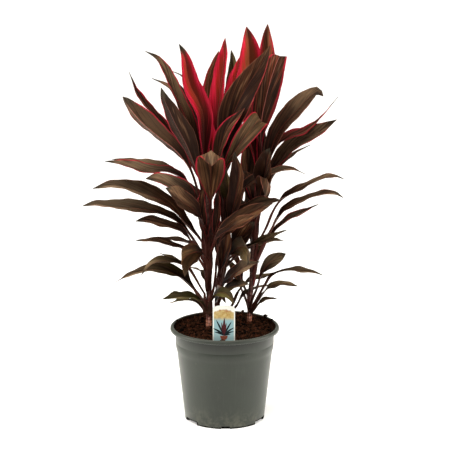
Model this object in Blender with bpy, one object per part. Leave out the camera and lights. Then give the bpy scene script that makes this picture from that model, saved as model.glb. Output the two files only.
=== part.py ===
"""A ti plant with bronze and crimson leaves on three canes, in a round nursery pot with a label.

Metres, +Z up. The pot's axis is the Z axis and its feet stand on z = 0. -Y is the front.
Leaf positions are given on a front grid: columns and rows, 1.904 mm apart where they cross the pot's
axis, seen from four metres away and 14 degrees above the horizontal. Column 225 is on the axis, row
416 is at the foot, and rows are counted downwards. A depth in centimetres behind the axis places the
point along the line of sight, so a leaf can move in depth and keep its outline in the front view.
"""

import math

import bmesh
import bpy
from mathutils import Vector
from mathutils.bvhtree import BVHTree

# Pot, in metres.
POT_HEIGHT = 0.184
LIP_RADIUS = 0.105
COLLAR_RADIUS = 0.095
COLLAR_FOOT = 0.1430
BODY_TOP_RADIUS = 0.0917
BODY_TOP = 0.1345
BODY_FOOT_RADIUS = 0.0780
FOOT_RADIUS = 0.0767
POT_WALL = 0.0018
FOOT_RING_WIDTH = 0.006
CENTRE_FOOT_RADIUS = 0.030
CENTRE_FOOT_TAPER = 0.002
FOOT_GAP_HEIGHT = 0.006
FOOT_GAP_DEGREES = 26.0
FOOT_GAP_CENTRES = (63.0, 183.0, 303.0)
FOOT_NOTCH_HEIGHT = 0.003
FOOT_NOTCH_DEGREES = 13.0
FOOT_NOTCH_CENTRE = 1.5
POT_SIDES = 48

# Soil, in metres.
SOIL_GAP = 0.0004
SOIL_SLACK = 0.0002
SOIL_EDGE = 1.015
SOIL_TOP = 0.1782
SOIL_MOUND = 0.0035
SOIL_LUMP = 0.0022
SOIL_RINGS = 6
SOIL_SIDES = 36
HOLE_CLEARANCE = 0.0004
HOLE_SIDES = 16
HOLE_TOP = 0.21
CANE_FOOT = 0.120

# Label, in metres.
LABEL_WIDTH = 0.042
LABEL_SHOULDER = 0.2405
LABEL_TOP = 0.2475
LABEL_BOTTOM = 0.1790
LABEL_THICKNESS = 0.0012
LABEL_ACROSS = -0.0015
LABEL_DEPTH = -0.0840
LABEL_LEAN = math.radians(4.0)
STAKE_WIDTH = 0.016
STAKE_BOTTOM = 0.1350
ARCH_STEPS = 8

# Front grid.
GRID_STEP = 0.001904
GRID_COLUMN = 225.0
GRID_ROW = 225.0
GRID_AIM = 0.383
EYE_DISTANCE = 4.0
EYE_RISE = math.radians(14.0)

# Canes and leaves, in metres.
CANE_SIDES = 12
CANE_FLUTES = 0.10
BUD_GAP = 0.0004
BUD_LENGTH = 0.016
BUD_SIDES = 8
BUD_TIP_RADIUS = 0.0022
STALK_HALF_WIDTH = 0.0034
SHEATH_HALF_WIDTH = 0.0050
STALK_THICKNESS = 0.0026
RIB_THICKNESS = 0.0016
TIP_THICKNESS = 0.0010
EDGE_THICKNESS = 0.0009
TIP_HALF_WIDTH = 0.0007
STALK_FOLD = math.radians(50.0)
RIB_SINK = 0.55
WAVE_HEIGHT = 0.0022
SEGMENT_LENGTH = 0.0272
FEWEST_SEGMENTS = 5
MOST_SEGMENTS = 11
CURVE_STEPS = 12
CLEARANCE = 0.0009
DEPTH_STEP = 0.007
DEPTH_TRIES = 16
BLADE_START = 1.05
RAMP_END = 0.28
ROOT_SHARE = 0.30
SHIFT_COST = 0.2
CROSSING_COST = 2
BLOCKED_COST = 1000

# Each cane: (column, row, depth, radius in millimetres) points upwards from the soil. The leaf sheaths
# that wrap a cane make it thickest in the middle.
CANES = {
    "left": ((209, 327, 0.0, 5.3), (209.0, 310, 0.0, 5.3), (209.5, 294, 0.0, 6.8), (209.6, 276, 0.0, 7.6),
             (208.9, 258, 0.2, 8.4), (208, 240, 0.4, 9.0), (208.5, 222, 0.5, 9.5), (208, 195, 0.5, 4.6)),
    "middle": ((217, 321, 4.4, 4.6), (217, 303, 4.4, 4.6), (218.5, 286, 4.4, 5.6), (221.5, 264, 4.4, 6.6),
               (224.5, 240, 4.4, 7.0), (225, 215, 4.4, 7.4), (223, 192, 4.4, 4.5)),
    "right": ((249.5, 323, 3.7, 4.8), (250.2, 306, 3.7, 4.8), (251, 288, 3.7, 5.6), (252.5, 264, 3.8, 7.0),
              (253.7, 240, 3.9, 7.2), (254.8, 215, 4.0, 6.5), (257, 190, 4.0, 4.5)),
}

# Each leaf: name, cane, row where it leaves the cane, blade width in millimetres, how far the upper
# face turns up from facing the front in degrees, fold of each half in degrees, share of the length that
# is stalk, how drawn-out the tip is, tone, and the points of its rib as (column, row) or
# (column, row, depth).
LEAVES = (
    # New leaves in the three hearts.
    ("new_left_a", "left", 0, 40, 22, 24, 0.16, 0.85, "new",
     ((205, 160), (205, 118), (199, 100), (191, 84), (186.5, 62), (183.5, 52), (179.5, 44, 1.5))),
    ("new_left_b", "left", 0, 24, 50, 40, 0.14, 0.80, "new",
     ((211, 165), (211, 135), (209, 112), (206, 97, 4.5))),
    ("new_middle_a", "middle", 0, 38, 34, 32, 0.16, 0.80, "new",
     ((219, 160), (216.5, 125), (218, 95), (221.5, 72), (224.5, 52), (225.5, 38, 4.5))),
    ("new_middle_b", "middle", 0, 34, 44, 30, 0.24, 0.85, "new",
     ((226, 160), (228, 120), (232, 96), (234, 79), (237, 69), (240, 57, 2.5))),
    ("new_right_a", "right", 0, 62, 16, 22, 0.16, 0.86, "new",
     ((256, 150), (254, 120), (251, 85), (250.5, 60), (249.3, 42), (246.8, 26.5, 8.0))),
    ("new_right_b", "right", 0, 30, 45, 36, 0.18, 0.80, "new",
     ((260, 150), (263, 120), (266, 95), (268, 78, 4.5))),
    # Leaves that bend or stand at the front.
    ("left_bow", "left", 250, 66, 4, 32, 0.42, 0.82, "bronze",
     ((211, 215, -2.0), (211, 190, -3.5), (211, 168, -5.0), (211, 156.5, -6.6), (211.5, 154.2, -8.2),
      (211.5, 158, -9.6), (212, 166, -10.4))),
    ("right_bend", "right", 226, 34, 20, 22, 0.26, 0.80, "bronze",
     ((260, 194, -1.0), (265, 180, -5.0), (267, 184, -9.0), (266, 196, -12.0))),
    ("middle_bend", "middle", 268, 46, 10, 22, 0.24, 0.80, "olive",
     ((234, 250, -1.0), (243, 247, -6.0), (248, 254, -11.0), (248, 265, -14.0))),
    ("left_bend", "left", 264, 42, 0, 22, 0.30, 0.80, "olive",
     ((201, 252, -6.0), (190, 254, -11.0), (184, 262, -14.5), (185, 276, -17.0))),
    ("left_low_f", "left", 303, 22, 36, 20, 0.24, 0.95, "olive",
     ((215.5, 294, -4.0), (223, 292, -7.0), (230.5, 296.5, -9.0), (234, 304, -10.0))),
    ("left_front", "left", 248, 40, 12, 24, 0.46, 0.55, "rose",
     ((214, 212, -1.0), (218, 190, -2.5), (225, 167, -4.5), (238, 146, -7.5), (251, 129, -8.0),
      (260, 119, -5.5), (264, 124, -1.5))),
    ("middle_front_a", "middle", 244, 57, 18, 20, 0.43, 1.12, "dark",
     ((225, 182, 0.0), (226, 152, -1.5), (231.5, 118, -2.0), (241.5, 95, -2.0), (255, 73.5, -1.0),
      (265, 57, 0.5), (270.5, 45, 1.5))),
    # Crown of the left cane.
    ("left_fan_a", "left", 238, 54, 132, 27, 0.42, 0.72, "bronze",
     ((197.5, 187), (183, 156), (158, 132.5), (137.5, 114), (123, 96.5, 4.0))),
    ("left_fan_b", "left", 230, 32, 60, 24, 0.38, 1.25, "rose",
     ((200, 172), (184, 149), (157.5, 116.5), (137.5, 92), (132.5, 80), (129.5, 72, 9.0))),
    ("left_fan_c", "left", 242, 36, 52, 24, 0.38, 1.00, "rose",
     ((201, 160, 3.0), (191.5, 126), (181.5, 101), (170.5, 78), (158.5, 59), (145.5, 51, 7.0))),
    ("left_fan_d", "left", 224, 32, 44, 22, 0.36, 1.10, "bronze",
     ((196, 142), (182.5, 105), (170.5, 87.5), (152, 78, 14.0))),
    ("left_fan_e", "left", 244, 48, 142, 20, 0.41, 0.95, "dark",
     ((200, 180), (187.5, 143), (174.5, 117.5), (165, 99), (161.5, 87.5, -5.0))),
    ("left_fan_f", "left", 220, 28, 60, 22, 0.36, 1.00, "dark",
     ((204, 150), (193, 101), (184, 78), (171.5, 70.5, 15.0))),
    ("left_fan_g", "left", 226, 24, 62, 22, 0.40, 0.90, "dark",
     ((203, 160), (194, 114), (186, 95), (178, 82, 11.0))),
    ("left_in_a", "left", 266, 24, 24, 40, 0.36, 0.80, "rose",
     ((205, 238, -1.6), (202, 218, -2.6), (201, 202, -3.2), (203, 188, -3.6))),
    ("left_in_b", "left", 262, 24, 30, 40, 0.36, 0.80, "rose",
     ((214, 236, -1.2), (217.5, 218, -2.2), (218.5, 202, -2.8), (218, 190, -3.2))),
    # Left side of the left cane, from the top down.
    ("left_wing_a", "left", 240, 34, 67, 20, 0.41, 0.95, "bronze",
     ((193, 189), (173, 171), (151, 163), (130, 160.5), (112, 159, 5.0))),
    ("left_wing_b", "left", 246, 38, 62, 22, 0.42, 1.00, "bronze",
     ((191, 190), (172, 171), (147, 169), (121, 163), (105, 161, -1.0))),
    ("left_wing_c", "left", 250, 40, 58, 22, 0.40, 0.95, "bronze",
     ((194, 198), (178, 186), (160, 178.5), (146, 178.5, -11.0))),
    ("left_wing_d", "left", 254, 50, 57, 22, 0.14, 0.95, "bronze",
     ((203.5, 242), (192.5, 229), (180, 213), (165, 200.5), (148, 192.5), (130, 187), (112, 184.5),
      (93, 188.5, -2.0))),
    ("left_wing_e", "left", 236, 44, 46, 22, 0.30, 0.90, "dark",
     ((200, 215), (185, 201), (166, 188, -15.0))),
    ("left_wing_f", "left", 265, 42, 56, 22, 0.25, 0.85, "bronze",
     ((201.5, 250), (181.5, 223.5), (162, 212), (140, 207.5), (115, 205), (96, 203.5),
      (82.5, 206, 3.0))),
    ("left_wing_g", "left", 270, 28, 62, 20, 0.38, 0.90, "dark",
     ((198, 250), (184, 232), (168, 224), (150, 220), (136, 221, -8.0))),
    ("left_wing_h", "left", 264, 23, 68, 20, 0.28, 1.15, "dark",
     ((201, 249.5), (187, 241.5), (172, 238.3), (157, 236.5, 8.0))),
    ("left_wing_i", "left", 276, 27, 68, 20, 0.26, 0.90, "dark",
     ((198, 256), (183, 247), (166, 242.5), (150, 240), (136, 240.5, -6.0))),
    ("left_low_a", "left", 302, 22, 68, 20, 0.46, 1.10, "olive",
     ((200, 297), (190, 279), (182, 263), (171, 257), (160, 253, 5.0))),
    ("left_low_b", "left", 298, 25, 64, 22, 0.42, 1.05, "olive",
     ((205, 292), (191, 270), (178, 261.5), (163, 260), (151, 264), (141.5, 275, -3.0))),
    ("left_low_c", "left", 306, 42, 56, 22, 0.20, 1.70, "olive",
     ((203, 298), (193, 287), (181, 274.5), (166, 269), (148, 269), (131, 273.5), (116, 282, -3.0))),
    ("left_low_d", "left", 312, 31, 60, 22, 0.14, 1.00, "olive",
     ((200, 299), (188, 295.8), (176, 296.5), (163, 299, -9.0))),
    ("left_low_e", "left", 315, 16, 66, 20, 0.26, 1.15, "olive",
     ((197, 302), (182, 299.5), (168, 303, 5.0))),
    ("left_low_g", "left", 300, 18, 60, 20, 0.30, 0.95, "olive",
     ((206, 283), (203, 272), (197, 268), (189, 266.5, 9.0))),
    ("left_cross", "left", 303, 36, 50, 22, 0.43, 0.95, "bronze",
     ((214, 286), (216.5, 259), (221, 236), (236, 221), (254, 211), (273, 203, -9.0))),
    ("left_cross_b", "left", 262, 32, 60, 22, 0.34, 0.95, "bronze",
     ((216, 238), (228, 229), (242, 222), (259, 215, -13.0))),
    # Crown of the middle cane.
    ("middle_fan_a", "middle", 234, 46, 40, 26, 0.38, 0.80, "bronze",
     ((216, 160, 7.0), (212, 122, 8.0), (209.5, 96, 8.5), (212, 74, 9.0), (219, 51, 10.0))),
    ("middle_fan_b", "middle", 228, 26, 30, 22, 0.42, 0.75, "dark",
     ((226, 165, 7.5), (228, 110, 10.0), (232, 82, 11.0), (233.5, 62, 12.0), (231.5, 50, 12.5))),
    ("middle_fan_c", "middle", 236, 34, 50, 22, 0.44, 0.90, "bronze",
     ((218, 170, 2.0), (220, 146, 1.0), (227, 128, 0.5), (237, 117, 0.5), (245, 108, 0.5))),
    ("middle_front_c", "middle", 236, 36, 36, 20, 0.26, 0.80, "olive",
     ((227.5, 214, 0.0), (229, 196, -3.0), (227.5, 182, -5.0), (225, 168, -6.5))),
    ("middle_front_d", "middle", 240, 36, 30, 20, 0.24, 0.90, "dark",
     ((231, 214, 0.0), (236, 193, -3.0), (238, 172, -5.0), (235, 151, -7.0))),
    ("middle_in_a", "middle", 284, 32, 30, 22, 0.26, 0.85, "dark",
     ((222, 262, 1.5), (225, 246, 0.0), (227, 232, -1.0), (229, 219, -2.0))),
    ("middle_in_b", "middle", 276, 36, 44, 22, 0.30, 0.90, "dark",
     ((219, 252, 3.0), (217, 234, 3.5), (214, 220, 4.0), (213, 208, 5.0))),
    ("middle_in_c", "middle", 244, 38, 36, 22, 0.28, 0.85, "dark",
     ((230, 216, 4.5), (236, 197, 6.0), (241, 181, 7.0), (244, 166, 8.0))),
    ("middle_front_e", "middle", 266, 40, 30, 20, 0.28, 0.80, "dark",
     ((230, 253, 1.0), (238, 240, -2.0), (247, 230, -4.0), (255, 222, -5.0))),
    ("middle_wing_a", "middle", 242, 34, 64, 20, 0.40, 1.70, "bronze",
     ((230, 203), (240, 189), (256, 178.5), (274, 171.5), (290, 168), (305, 173.5, -3.0))),
    ("middle_wing_b", "middle", 234, 36, 60, 20, 0.28, 0.95, "bronze",
     ((236, 212), (252, 205), (268, 202), (281, 200, -6.0))),
    ("middle_wing_c", "middle", 264, 26, 64, 20, 0.32, 0.95, "olive",
     ((239, 250), (252, 244), (265, 239), (277, 234), (287, 230, 0.0))),
    ("middle_wing_d", "middle", 272, 22, 66, 20, 0.32, 0.95, "olive",
     ((239, 253), (252, 246), (265, 242.5), (277, 240), (285, 241, 8.0))),
    ("middle_low_a", "middle", 296, 36, 46, 22, 0.16, 1.25, "bronze",
     ((224, 283, 2.0), (234, 273), (246, 266), (260, 261.5, -9.0))),
    ("middle_low_b", "middle", 306, 27, 46, 22, 0.14, 1.00, "olive",
     ((226, 288, 1.5), (237, 284.5, -2.5), (249, 284, -6.0))),
    ("middle_low_c", "middle", 312, 30, 40, 22, 0.20, 0.80, "dark",
     ((216, 302, 0.5), (218, 294, -3.0), (223, 292, -6.0), (226, 303, -8.0))),
    ("middle_low_d", "middle", 317, 20, 60, 20, 0.46, 0.95, "olive",
     ((231, 306, 3.0), (239, 290.5), (249, 281), (262, 276), (276, 272, 6.0))),
    ("middle_low_e", "middle", 318, 20, 60, 20, 0.46, 0.95, "olive",
     ((234, 308, 2.0), (242, 296), (252, 289), (263, 286), (273, 285, 8.0))),
    # Crown of the right cane.
    ("right_fan_a", "right", 236, 45, 20, 24, 0.37, 0.82, "bronze",
     ((260, 168), (260.5, 115), (264.5, 80), (267.5, 52), (267.5, 36), (268, 24, 11.5))),
    ("right_fan_b", "right", 244, 53, 22, 8, 0.48, 0.98, "rose",
     ((261, 175, 2.0), (261, 125, 0.5), (266, 98, 0.5), (272.5, 74, 1.0), (278, 59, 2.0),
      (281, 55.5, 3.6), (283, 59, 6.0))),
    ("right_fan_c", "right", 236, 26, 40, 22, 0.38, 0.90, "dark",
     ((258, 184, 1.0), (259, 150, -2.5), (263, 130, -4.0), (268.5, 118.5, -5.0))),
    ("right_front_a", "right", 226, 36, 30, 20, 0.24, 0.85, "rose",
     ((253, 204, 6.0), (249, 178, 8.0), (247, 158, 9.0), (246, 138, 10.0))),
    ("right_front_b", "right", 216, 44, 36, 20, 0.24, 0.85, "dark",
     ((260, 194, 0.5), (263, 178, -3.0), (266, 162, -6.0), (270, 148, -8.0))),
    ("right_front_c", "right", 222, 36, 34, 20, 0.26, 0.90, "dark",
     ((256, 204, 1.0), (252, 190, -1.5), (247, 179, -3.5), (241, 170, -5.0))),
    ("right_in_c", "right", 262, 40, 30, 22, 0.28, 0.85, "dark",
     ((251, 238, 1.0), (246, 222, -1.0), (242, 208, -2.5), (240, 198, -3.0))),
    ("right_in_d", "right", 252, 38, 40, 22, 0.28, 0.90, "bronze",
     ((253, 227, 4.0), (252, 207, 4.0), (253, 189, 4.0), (256, 173, 4.5))),
    # Right side of the right cane, from the top down.
    ("right_wing_a", "right", 238, 48, 45, 24, 0.38, 0.82, "bronze",
     ((265, 174), (271, 146), (281, 126), (297, 108), (309, 96.5), (317.5, 91), (323.5, 96, -3.0))),
    ("right_wing_b", "right", 242, 30, 62, 20, 0.40, 1.90, "rose",
     ((266, 175), (274, 147), (289, 136), (303, 131.5), (314, 123), (326, 111.5), (338, 97, 5.0))),
    ("right_wing_c", "right", 246, 46, 52, 22, 0.40, 1.00, "bronze",
     ((267, 182), (279, 159), (293, 144), (310, 135), (325, 127), (337, 119.5, -4.0))),
    ("right_wing_d", "right", 232, 24, 66, 20, 0.41, 1.15, "dark",
     ((267, 187), (277, 169), (289, 157), (300, 150), (311, 144.5, 9.0))),
    ("right_wing_e", "right", 248, 27, 66, 20, 0.34, 0.95, "bronze",
     ((265, 229), (273, 211), (282, 199), (293, 191.5), (306, 184.5), (322, 178.3), (335, 176),
      (344.5, 179, 4.0))),
    ("right_wing_f", "right", 266, 24, 66, 20, 0.32, 0.95, "bronze",
     ((266, 239), (276.5, 219.5), (289, 206), (305, 198), (322, 193.5), (335, 193),
      (343.5, 197.5, -3.0))),
    ("right_wing_g", "right", 272, 26, 64, 20, 0.30, 0.95, "rose",
     ((263.5, 247), (273, 231), (288, 218.8), (304, 211), (319, 204, 8.0))),
    ("right_low_a", "right", 306, 27, 28, 22, 0.54, 0.85, "olive",
     ((256, 289), (262, 273), (268, 264), (277, 258), (286, 253.5, -8.0))),
    ("right_low_b", "right", 310, 18, 66, 22, 0.42, 0.95, "olive",
     ((263, 287), (272, 275), (285, 270), (299, 269.5), (313, 271.5), (323, 275, -2.0))),
    ("right_low_d", "right", 313, 16, 64, 20, 0.30, 0.95, "olive",
     ((258, 299.5), (267.5, 288.5), (282, 283), (298, 286, -7.0))),
    ("right_low_f", "right", 315, 13, 62, 20, 0.34, 1.15, "olive",
     ((257, 305), (266, 299), (277, 298.5, -3.5))),
    ("right_in_a", "right", 311, 26, 56, 20, 0.46, 1.00, "olive",
     ((246, 299, 4.5), (240, 284), (234, 270), (226, 258), (218, 250, 13.0))),
    ("right_in_b", "right", 306, 24, 56, 20, 0.46, 1.00, "dark",
     ((248, 295, 5.5), (243, 282), (239, 268), (234, 254), (228, 246, 17.0))),
    # Leaves at the back of the three canes.
    ("left_back_a", "left", 240, 44, 40, 22, 0.34, 0.90, "dark",
     ((204, 192), (196, 160), (187, 134), (180, 116, 20.0))),
    ("left_back_b", "left", 244, 44, 46, 22, 0.28, 0.90, "dark",
     ((206, 218), (197, 196), (184, 184), (172, 181, 22.0))),
    ("left_back_c", "left", 276, 40, 50, 22, 0.30, 0.90, "olive",
     ((208, 254), (206, 232), (203, 214), (199, 202, 20.0))),
    ("middle_back_a", "middle", 236, 46, 36, 22, 0.36, 0.90, "dark",
     ((224, 187), (228, 150), (236, 122), (243, 98, 20.0))),
    ("middle_back_b", "middle", 230, 46, 40, 22, 0.26, 0.90, "dark",
     ((222, 202), (218, 170), (212, 146), (206, 130, 24.0))),
    ("middle_back_c", "middle", 254, 42, 44, 22, 0.28, 0.90, "dark",
     ((228, 228), (234, 206), (242, 190), (250, 181, 26.0))),
    ("middle_back_d", "middle", 288, 32, 50, 22, 0.34, 0.90, "olive",
     ((224, 270), (222, 254), (216, 246), (209, 243, 22.0))),
    ("right_back_a", "right", 242, 46, 38, 22, 0.35, 0.90, "dark",
     ((258, 192), (258, 162), (259, 132), (260, 108, 21.0))),
    ("right_back_b", "right", 240, 42, 44, 22, 0.30, 0.90, "dark",
     ((259, 218), (262, 200), (266, 186), (272, 176, 22.0))),
    ("right_back_c", "right", 278, 34, 50, 22, 0.34, 0.90, "olive",
     ((256, 260), (260, 246), (265, 238), (272, 236, 20.0))),
)

NEW_RED = (0.52, 0.035, 0.075, 1.0)
STEM_COLOURS = {
    "left": (0.105, 0.052, 0.034, 1.0),
    "middle": (0.095, 0.058, 0.034, 1.0),
    "right": (0.110, 0.048, 0.032, 1.0),
}
POT_COLOUR = (0.120, 0.130, 0.100, 1.0)
SOIL_COLOUR = (0.030, 0.016, 0.011, 1.0)
LABEL_COLOUR = (0.78, 0.80, 0.72, 1.0)


def clear_scene():
    for item in list(bpy.data.objects):
        bpy.data.objects.remove(item, do_unlink=True)


def make_material(name, colour, roughness):
    material = bpy.data.materials.new(name)
    material.use_nodes = True
    shader = material.node_tree.nodes["Principled BSDF"]
    shader.inputs["Base Color"].default_value = colour
    shader.inputs["Roughness"].default_value = roughness
    return material


def make_object(name, points, faces, material=None):
    mesh = bpy.data.meshes.new(name)
    mesh.from_pydata([tuple(p) for p in points], [], faces)
    shape = bmesh.new()
    shape.from_mesh(mesh)
    bmesh.ops.recalc_face_normals(shape, faces=shape.faces)
    shape.to_mesh(mesh)
    shape.free()
    item = bpy.data.objects.new(name, mesh)
    bpy.context.scene.collection.objects.link(item)
    if material:
        mesh.materials.append(material)
    return item


def apply_boolean(item, kind, others, solver):
    """Joins the other objects to the item, or cuts them out of it, and removes them."""
    group = bpy.data.collections.new(item.name + "_" + kind.lower())
    bpy.context.scene.collection.children.link(group)
    for other in others:
        bpy.context.scene.collection.objects.unlink(other)
        group.objects.link(other)
        other.hide_render = True
        other.display_type = "WIRE"
    change = item.modifiers.new(kind.lower(), "BOOLEAN")
    change.operation = kind
    change.operand_type = "COLLECTION"
    change.collection = group
    change.solver = solver
    bpy.context.view_layer.objects.active = item
    bpy.ops.object.modifier_apply(modifier=change.name)
    for other in list(group.objects):
        bpy.data.objects.remove(other, do_unlink=True)
    bpy.data.collections.remove(group)


def island_volume(faces):
    total = 0.0
    for face in faces:
        corners = [v.co for v in face.verts]
        for k in range(1, len(corners) - 1):
            total += corners[0].dot(corners[k].cross(corners[k + 1])) / 6.0
    return total


def keep_main_body(item):
    """Keeps the largest closed body, which fills sealed hollows and drops loose scraps."""
    shape = bmesh.new()
    shape.from_mesh(item.data)
    waiting = set(shape.faces)
    islands = []
    while waiting:
        island = [waiting.pop()]
        for face in island:
            for edge in face.edges:
                for near in edge.link_faces:
                    if near in waiting:
                        waiting.remove(near)
                        island.append(near)
        islands.append(island)
    islands.sort(key=lambda faces: abs(island_volume(faces)), reverse=True)
    for island in islands[1:]:
        bmesh.ops.delete(shape, geom=list({v for face in island for v in face.verts}), context="VERTS")
    bmesh.ops.triangulate(shape, faces=shape.faces)
    shape.to_mesh(item.data)
    shape.free()


# Front grid and curves.

EYE = Vector((0.0, -EYE_DISTANCE * math.cos(EYE_RISE), GRID_AIM + EYE_DISTANCE * math.sin(EYE_RISE)))
SIGHT = Vector((0.0, math.cos(EYE_RISE), -math.sin(EYE_RISE)))
SIGHT_UP = Vector((0.0, math.sin(EYE_RISE), math.cos(EYE_RISE)))


def grid_point(column, row, depth):
    """The point on the line of sight through a grid crossing, depth metres behind the pot's axis."""
    across = (column - GRID_COLUMN) * GRID_STEP / EYE_DISTANCE
    up = (GRID_ROW - row) * GRID_STEP / EYE_DISTANCE
    ray = SIGHT + SIGHT_UP * up + Vector((across, 0.0, 0.0))
    return EYE + ray * ((depth - EYE.y) / ray.y)


def smooth(value):
    value = min(max(value, 0.0), 1.0)
    return value * value * (3.0 - 2.0 * value)


def curve_through(points, steps):
    """Points evenly spaced along a smooth curve through the given ones."""
    ends = [points[0] * 2.0 - points[1]] + list(points) + [points[-1] * 2.0 - points[-2]]
    dense = []
    for k in range(1, len(ends) - 2):
        a, b, c, d = ends[k - 1], ends[k], ends[k + 1], ends[k + 2]
        for j in range(CURVE_STEPS):
            t = j / CURVE_STEPS
            dense.append(0.5 * ((2.0 * b) + (c - a) * t + (2.0 * a - 5.0 * b + 4.0 * c - d) * t * t
                                + (3.0 * b - a - 3.0 * c + d) * t * t * t))
    dense.append(points[-1].copy())
    lengths = [0.0]
    for k in range(1, len(dense)):
        lengths.append(lengths[-1] + (dense[k] - dense[k - 1]).length)
    even = []
    k = 0
    for j in range(steps + 1):
        goal = lengths[-1] * j / steps
        while k < len(dense) - 2 and lengths[k + 1] < goal:
            k += 1
        share = (goal - lengths[k]) / max(lengths[k + 1] - lengths[k], 1e-9)
        even.append(dense[k].lerp(dense[k + 1], min(max(share, 0.0), 1.0)))
    return even, lengths[-1]


def directions(points):
    found = []
    for k in range(len(points)):
        before = points[max(k - 1, 0)]
        after = points[min(k + 1, len(points) - 1)]
        found.append((after - before).normalized())
    return found


# Canes.

def cane_points(cane):
    return [grid_point(c, r, d / 100.0) for c, r, d, _ in CANES[cane]]


def cane_radii(cane):
    return [mark[3] / 1000.0 for mark in CANES[cane]]


def cane_spot(cane, row):
    """The cane's centre at a grid row."""
    marks = CANES[cane]
    for low, high in zip(marks, marks[1:]):
        if high[1] <= row <= low[1]:
            share = (low[1] - row) / (low[1] - high[1])
            column = low[0] + (high[0] - low[0]) * share
            return grid_point(column, row, (low[2] + (high[2] - low[2]) * share) / 100.0)
    return cane_points(cane)[-1]


def tube(centres, radii, sides, flutes=0.0):
    """A closed tube whose rings lie flat, across +Z. Flutes make every second side stand back."""
    points = []
    faces = []
    for centre, radius in zip(centres, radii):
        for k in range(sides):
            angle = math.tau * k / sides
            reach = radius * (1.0 - flutes * (k % 2))
            points.append(centre + Vector((math.cos(angle) * reach, math.sin(angle) * reach, 0.0)))
    for i in range(len(centres) - 1):
        for k in range(sides):
            a, b = i * sides + k, i * sides + (k + 1) % sides
            faces.append((a, b, b + sides, a + sides))
    faces.append(tuple(range(sides - 1, -1, -1)))
    faces.append(tuple(range((len(centres) - 1) * sides, len(centres) * sides)))
    return points, faces


def cane_shape(cane):
    points = cane_points(cane)
    foot = Vector((points[0].x, points[0].y, CANE_FOOT))
    radii = cane_radii(cane)
    return tube([foot] + points, [radii[0]] + radii, CANE_SIDES, CANE_FLUTES)


def bud_shape(cane):
    top = cane_points(cane)[-1]
    radius = cane_radii(cane)[-1]
    centres = [top + Vector((0.0, 0.0, BUD_GAP + BUD_LENGTH * share)) for share in (0.0, 0.5, 1.0)]
    return tube(centres, [radius, radius * 0.9, BUD_TIP_RADIUS], BUD_SIDES)


# Leaves.

def leaf_curve(leaf, offset, steps):
    """Points along the rib. The offset moves the leaf in depth, along the lines of sight."""
    cane, row, marks = leaf[1], leaf[2], leaf[9]
    if row:
        root = cane_spot(cane, row)
    else:
        root = cane_points(cane)[-1] + Vector((0.0, 0.0, BUD_GAP + BUD_LENGTH * 0.25))
    known = [(0.0, root.y)]
    travel = [0.0]
    for k, mark in enumerate(marks):
        if k:
            step = math.hypot(mark[0] - marks[k - 1][0], mark[1] - marks[k - 1][1])
        else:
            step = (grid_point(mark[0], mark[1], root.y) - root).length / GRID_STEP
        travel.append(travel[-1] + step)
        if len(mark) == 3:
            known.append((travel[-1], mark[2] / 100.0))
    points = [root]
    for mark, way in zip(marks, travel[1:]):
        depth = known[-1][1]
        for (w0, d0), (w1, d1) in zip(known, known[1:]):
            if w0 <= way <= w1:
                depth = d0 + (d1 - d0) * (way - w0) / max(w1 - w0, 1e-9)
                break
        depth += offset * smooth(way / travel[-1] / RAMP_END)
        points.append(grid_point(mark[0], mark[1], depth))
    return curve_through(points, steps)


def leaf_frames(leaf, points):
    """Direction, upper-face normal and sideways vector at each point, with as little twist as can be."""
    along = directions(points)
    middle = len(points) // 2
    to_eye = (EYE - points[middle]).normalized()
    facing = to_eye - along[middle] * to_eye.dot(along[middle])
    facing.normalize()
    if points[-1].x < points[0].x:
        rising = along[middle].cross(facing)
    else:
        rising = facing.cross(along[middle])
    turn = math.radians(leaf[4])
    normals = [None] * len(points)
    normals[middle] = facing * math.cos(turn) + rising * math.sin(turn)
    for k in range(middle + 1, len(points)):
        carried = along[k - 1].rotation_difference(along[k]) @ normals[k - 1]
        normals[k] = (carried - along[k] * carried.dot(along[k])).normalized()
    for k in range(middle - 1, -1, -1):
        carried = along[k + 1].rotation_difference(along[k]) @ normals[k + 1]
        normals[k] = (carried - along[k] * carried.dot(along[k])).normalized()
    return along, normals


def blade_share(way, tip):
    """Width of the blade as a share of its widest, from its start at 0 to the tip at 1."""
    if way <= 0.0 or way >= 1.0:
        return 0.0
    widest = BLADE_START / (BLADE_START + tip)
    full = widest ** BLADE_START * (1.0 - widest) ** tip
    return way ** BLADE_START * (1.0 - way) ** tip / full


def leaf_half_width(leaf, u):
    stalk = leaf[6]
    blade = leaf[3] / 2000.0 * blade_share((u - stalk) / (1.0 - stalk), leaf[7])
    sheath = STALK_HALF_WIDTH + (SHEATH_HALF_WIDTH - STALK_HALF_WIDTH) * (1.0 - smooth(u / 0.12))
    thin = sheath + (TIP_HALF_WIDTH - sheath) * smooth((u - stalk) / (1.0 - stalk) * 1.6)
    return math.hypot(blade, thin)


def leaf_fold(leaf, u):
    opened = smooth((u - leaf[6] * 0.7) / 0.35)
    fold = math.radians(leaf[5])
    return STALK_FOLD + (fold - STALK_FOLD) * opened


def leaf_wave(seed, u, side):
    """Rise of a margin, as a share of the full wave."""
    swell = smooth((u - 0.25) / 0.25) * smooth((1.0 - u) / 0.2)
    return swell * math.sin(math.tau * (u * (2.6 + 0.12 * (seed % 5)) + 0.37 * seed + 0.31 * side))


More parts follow.
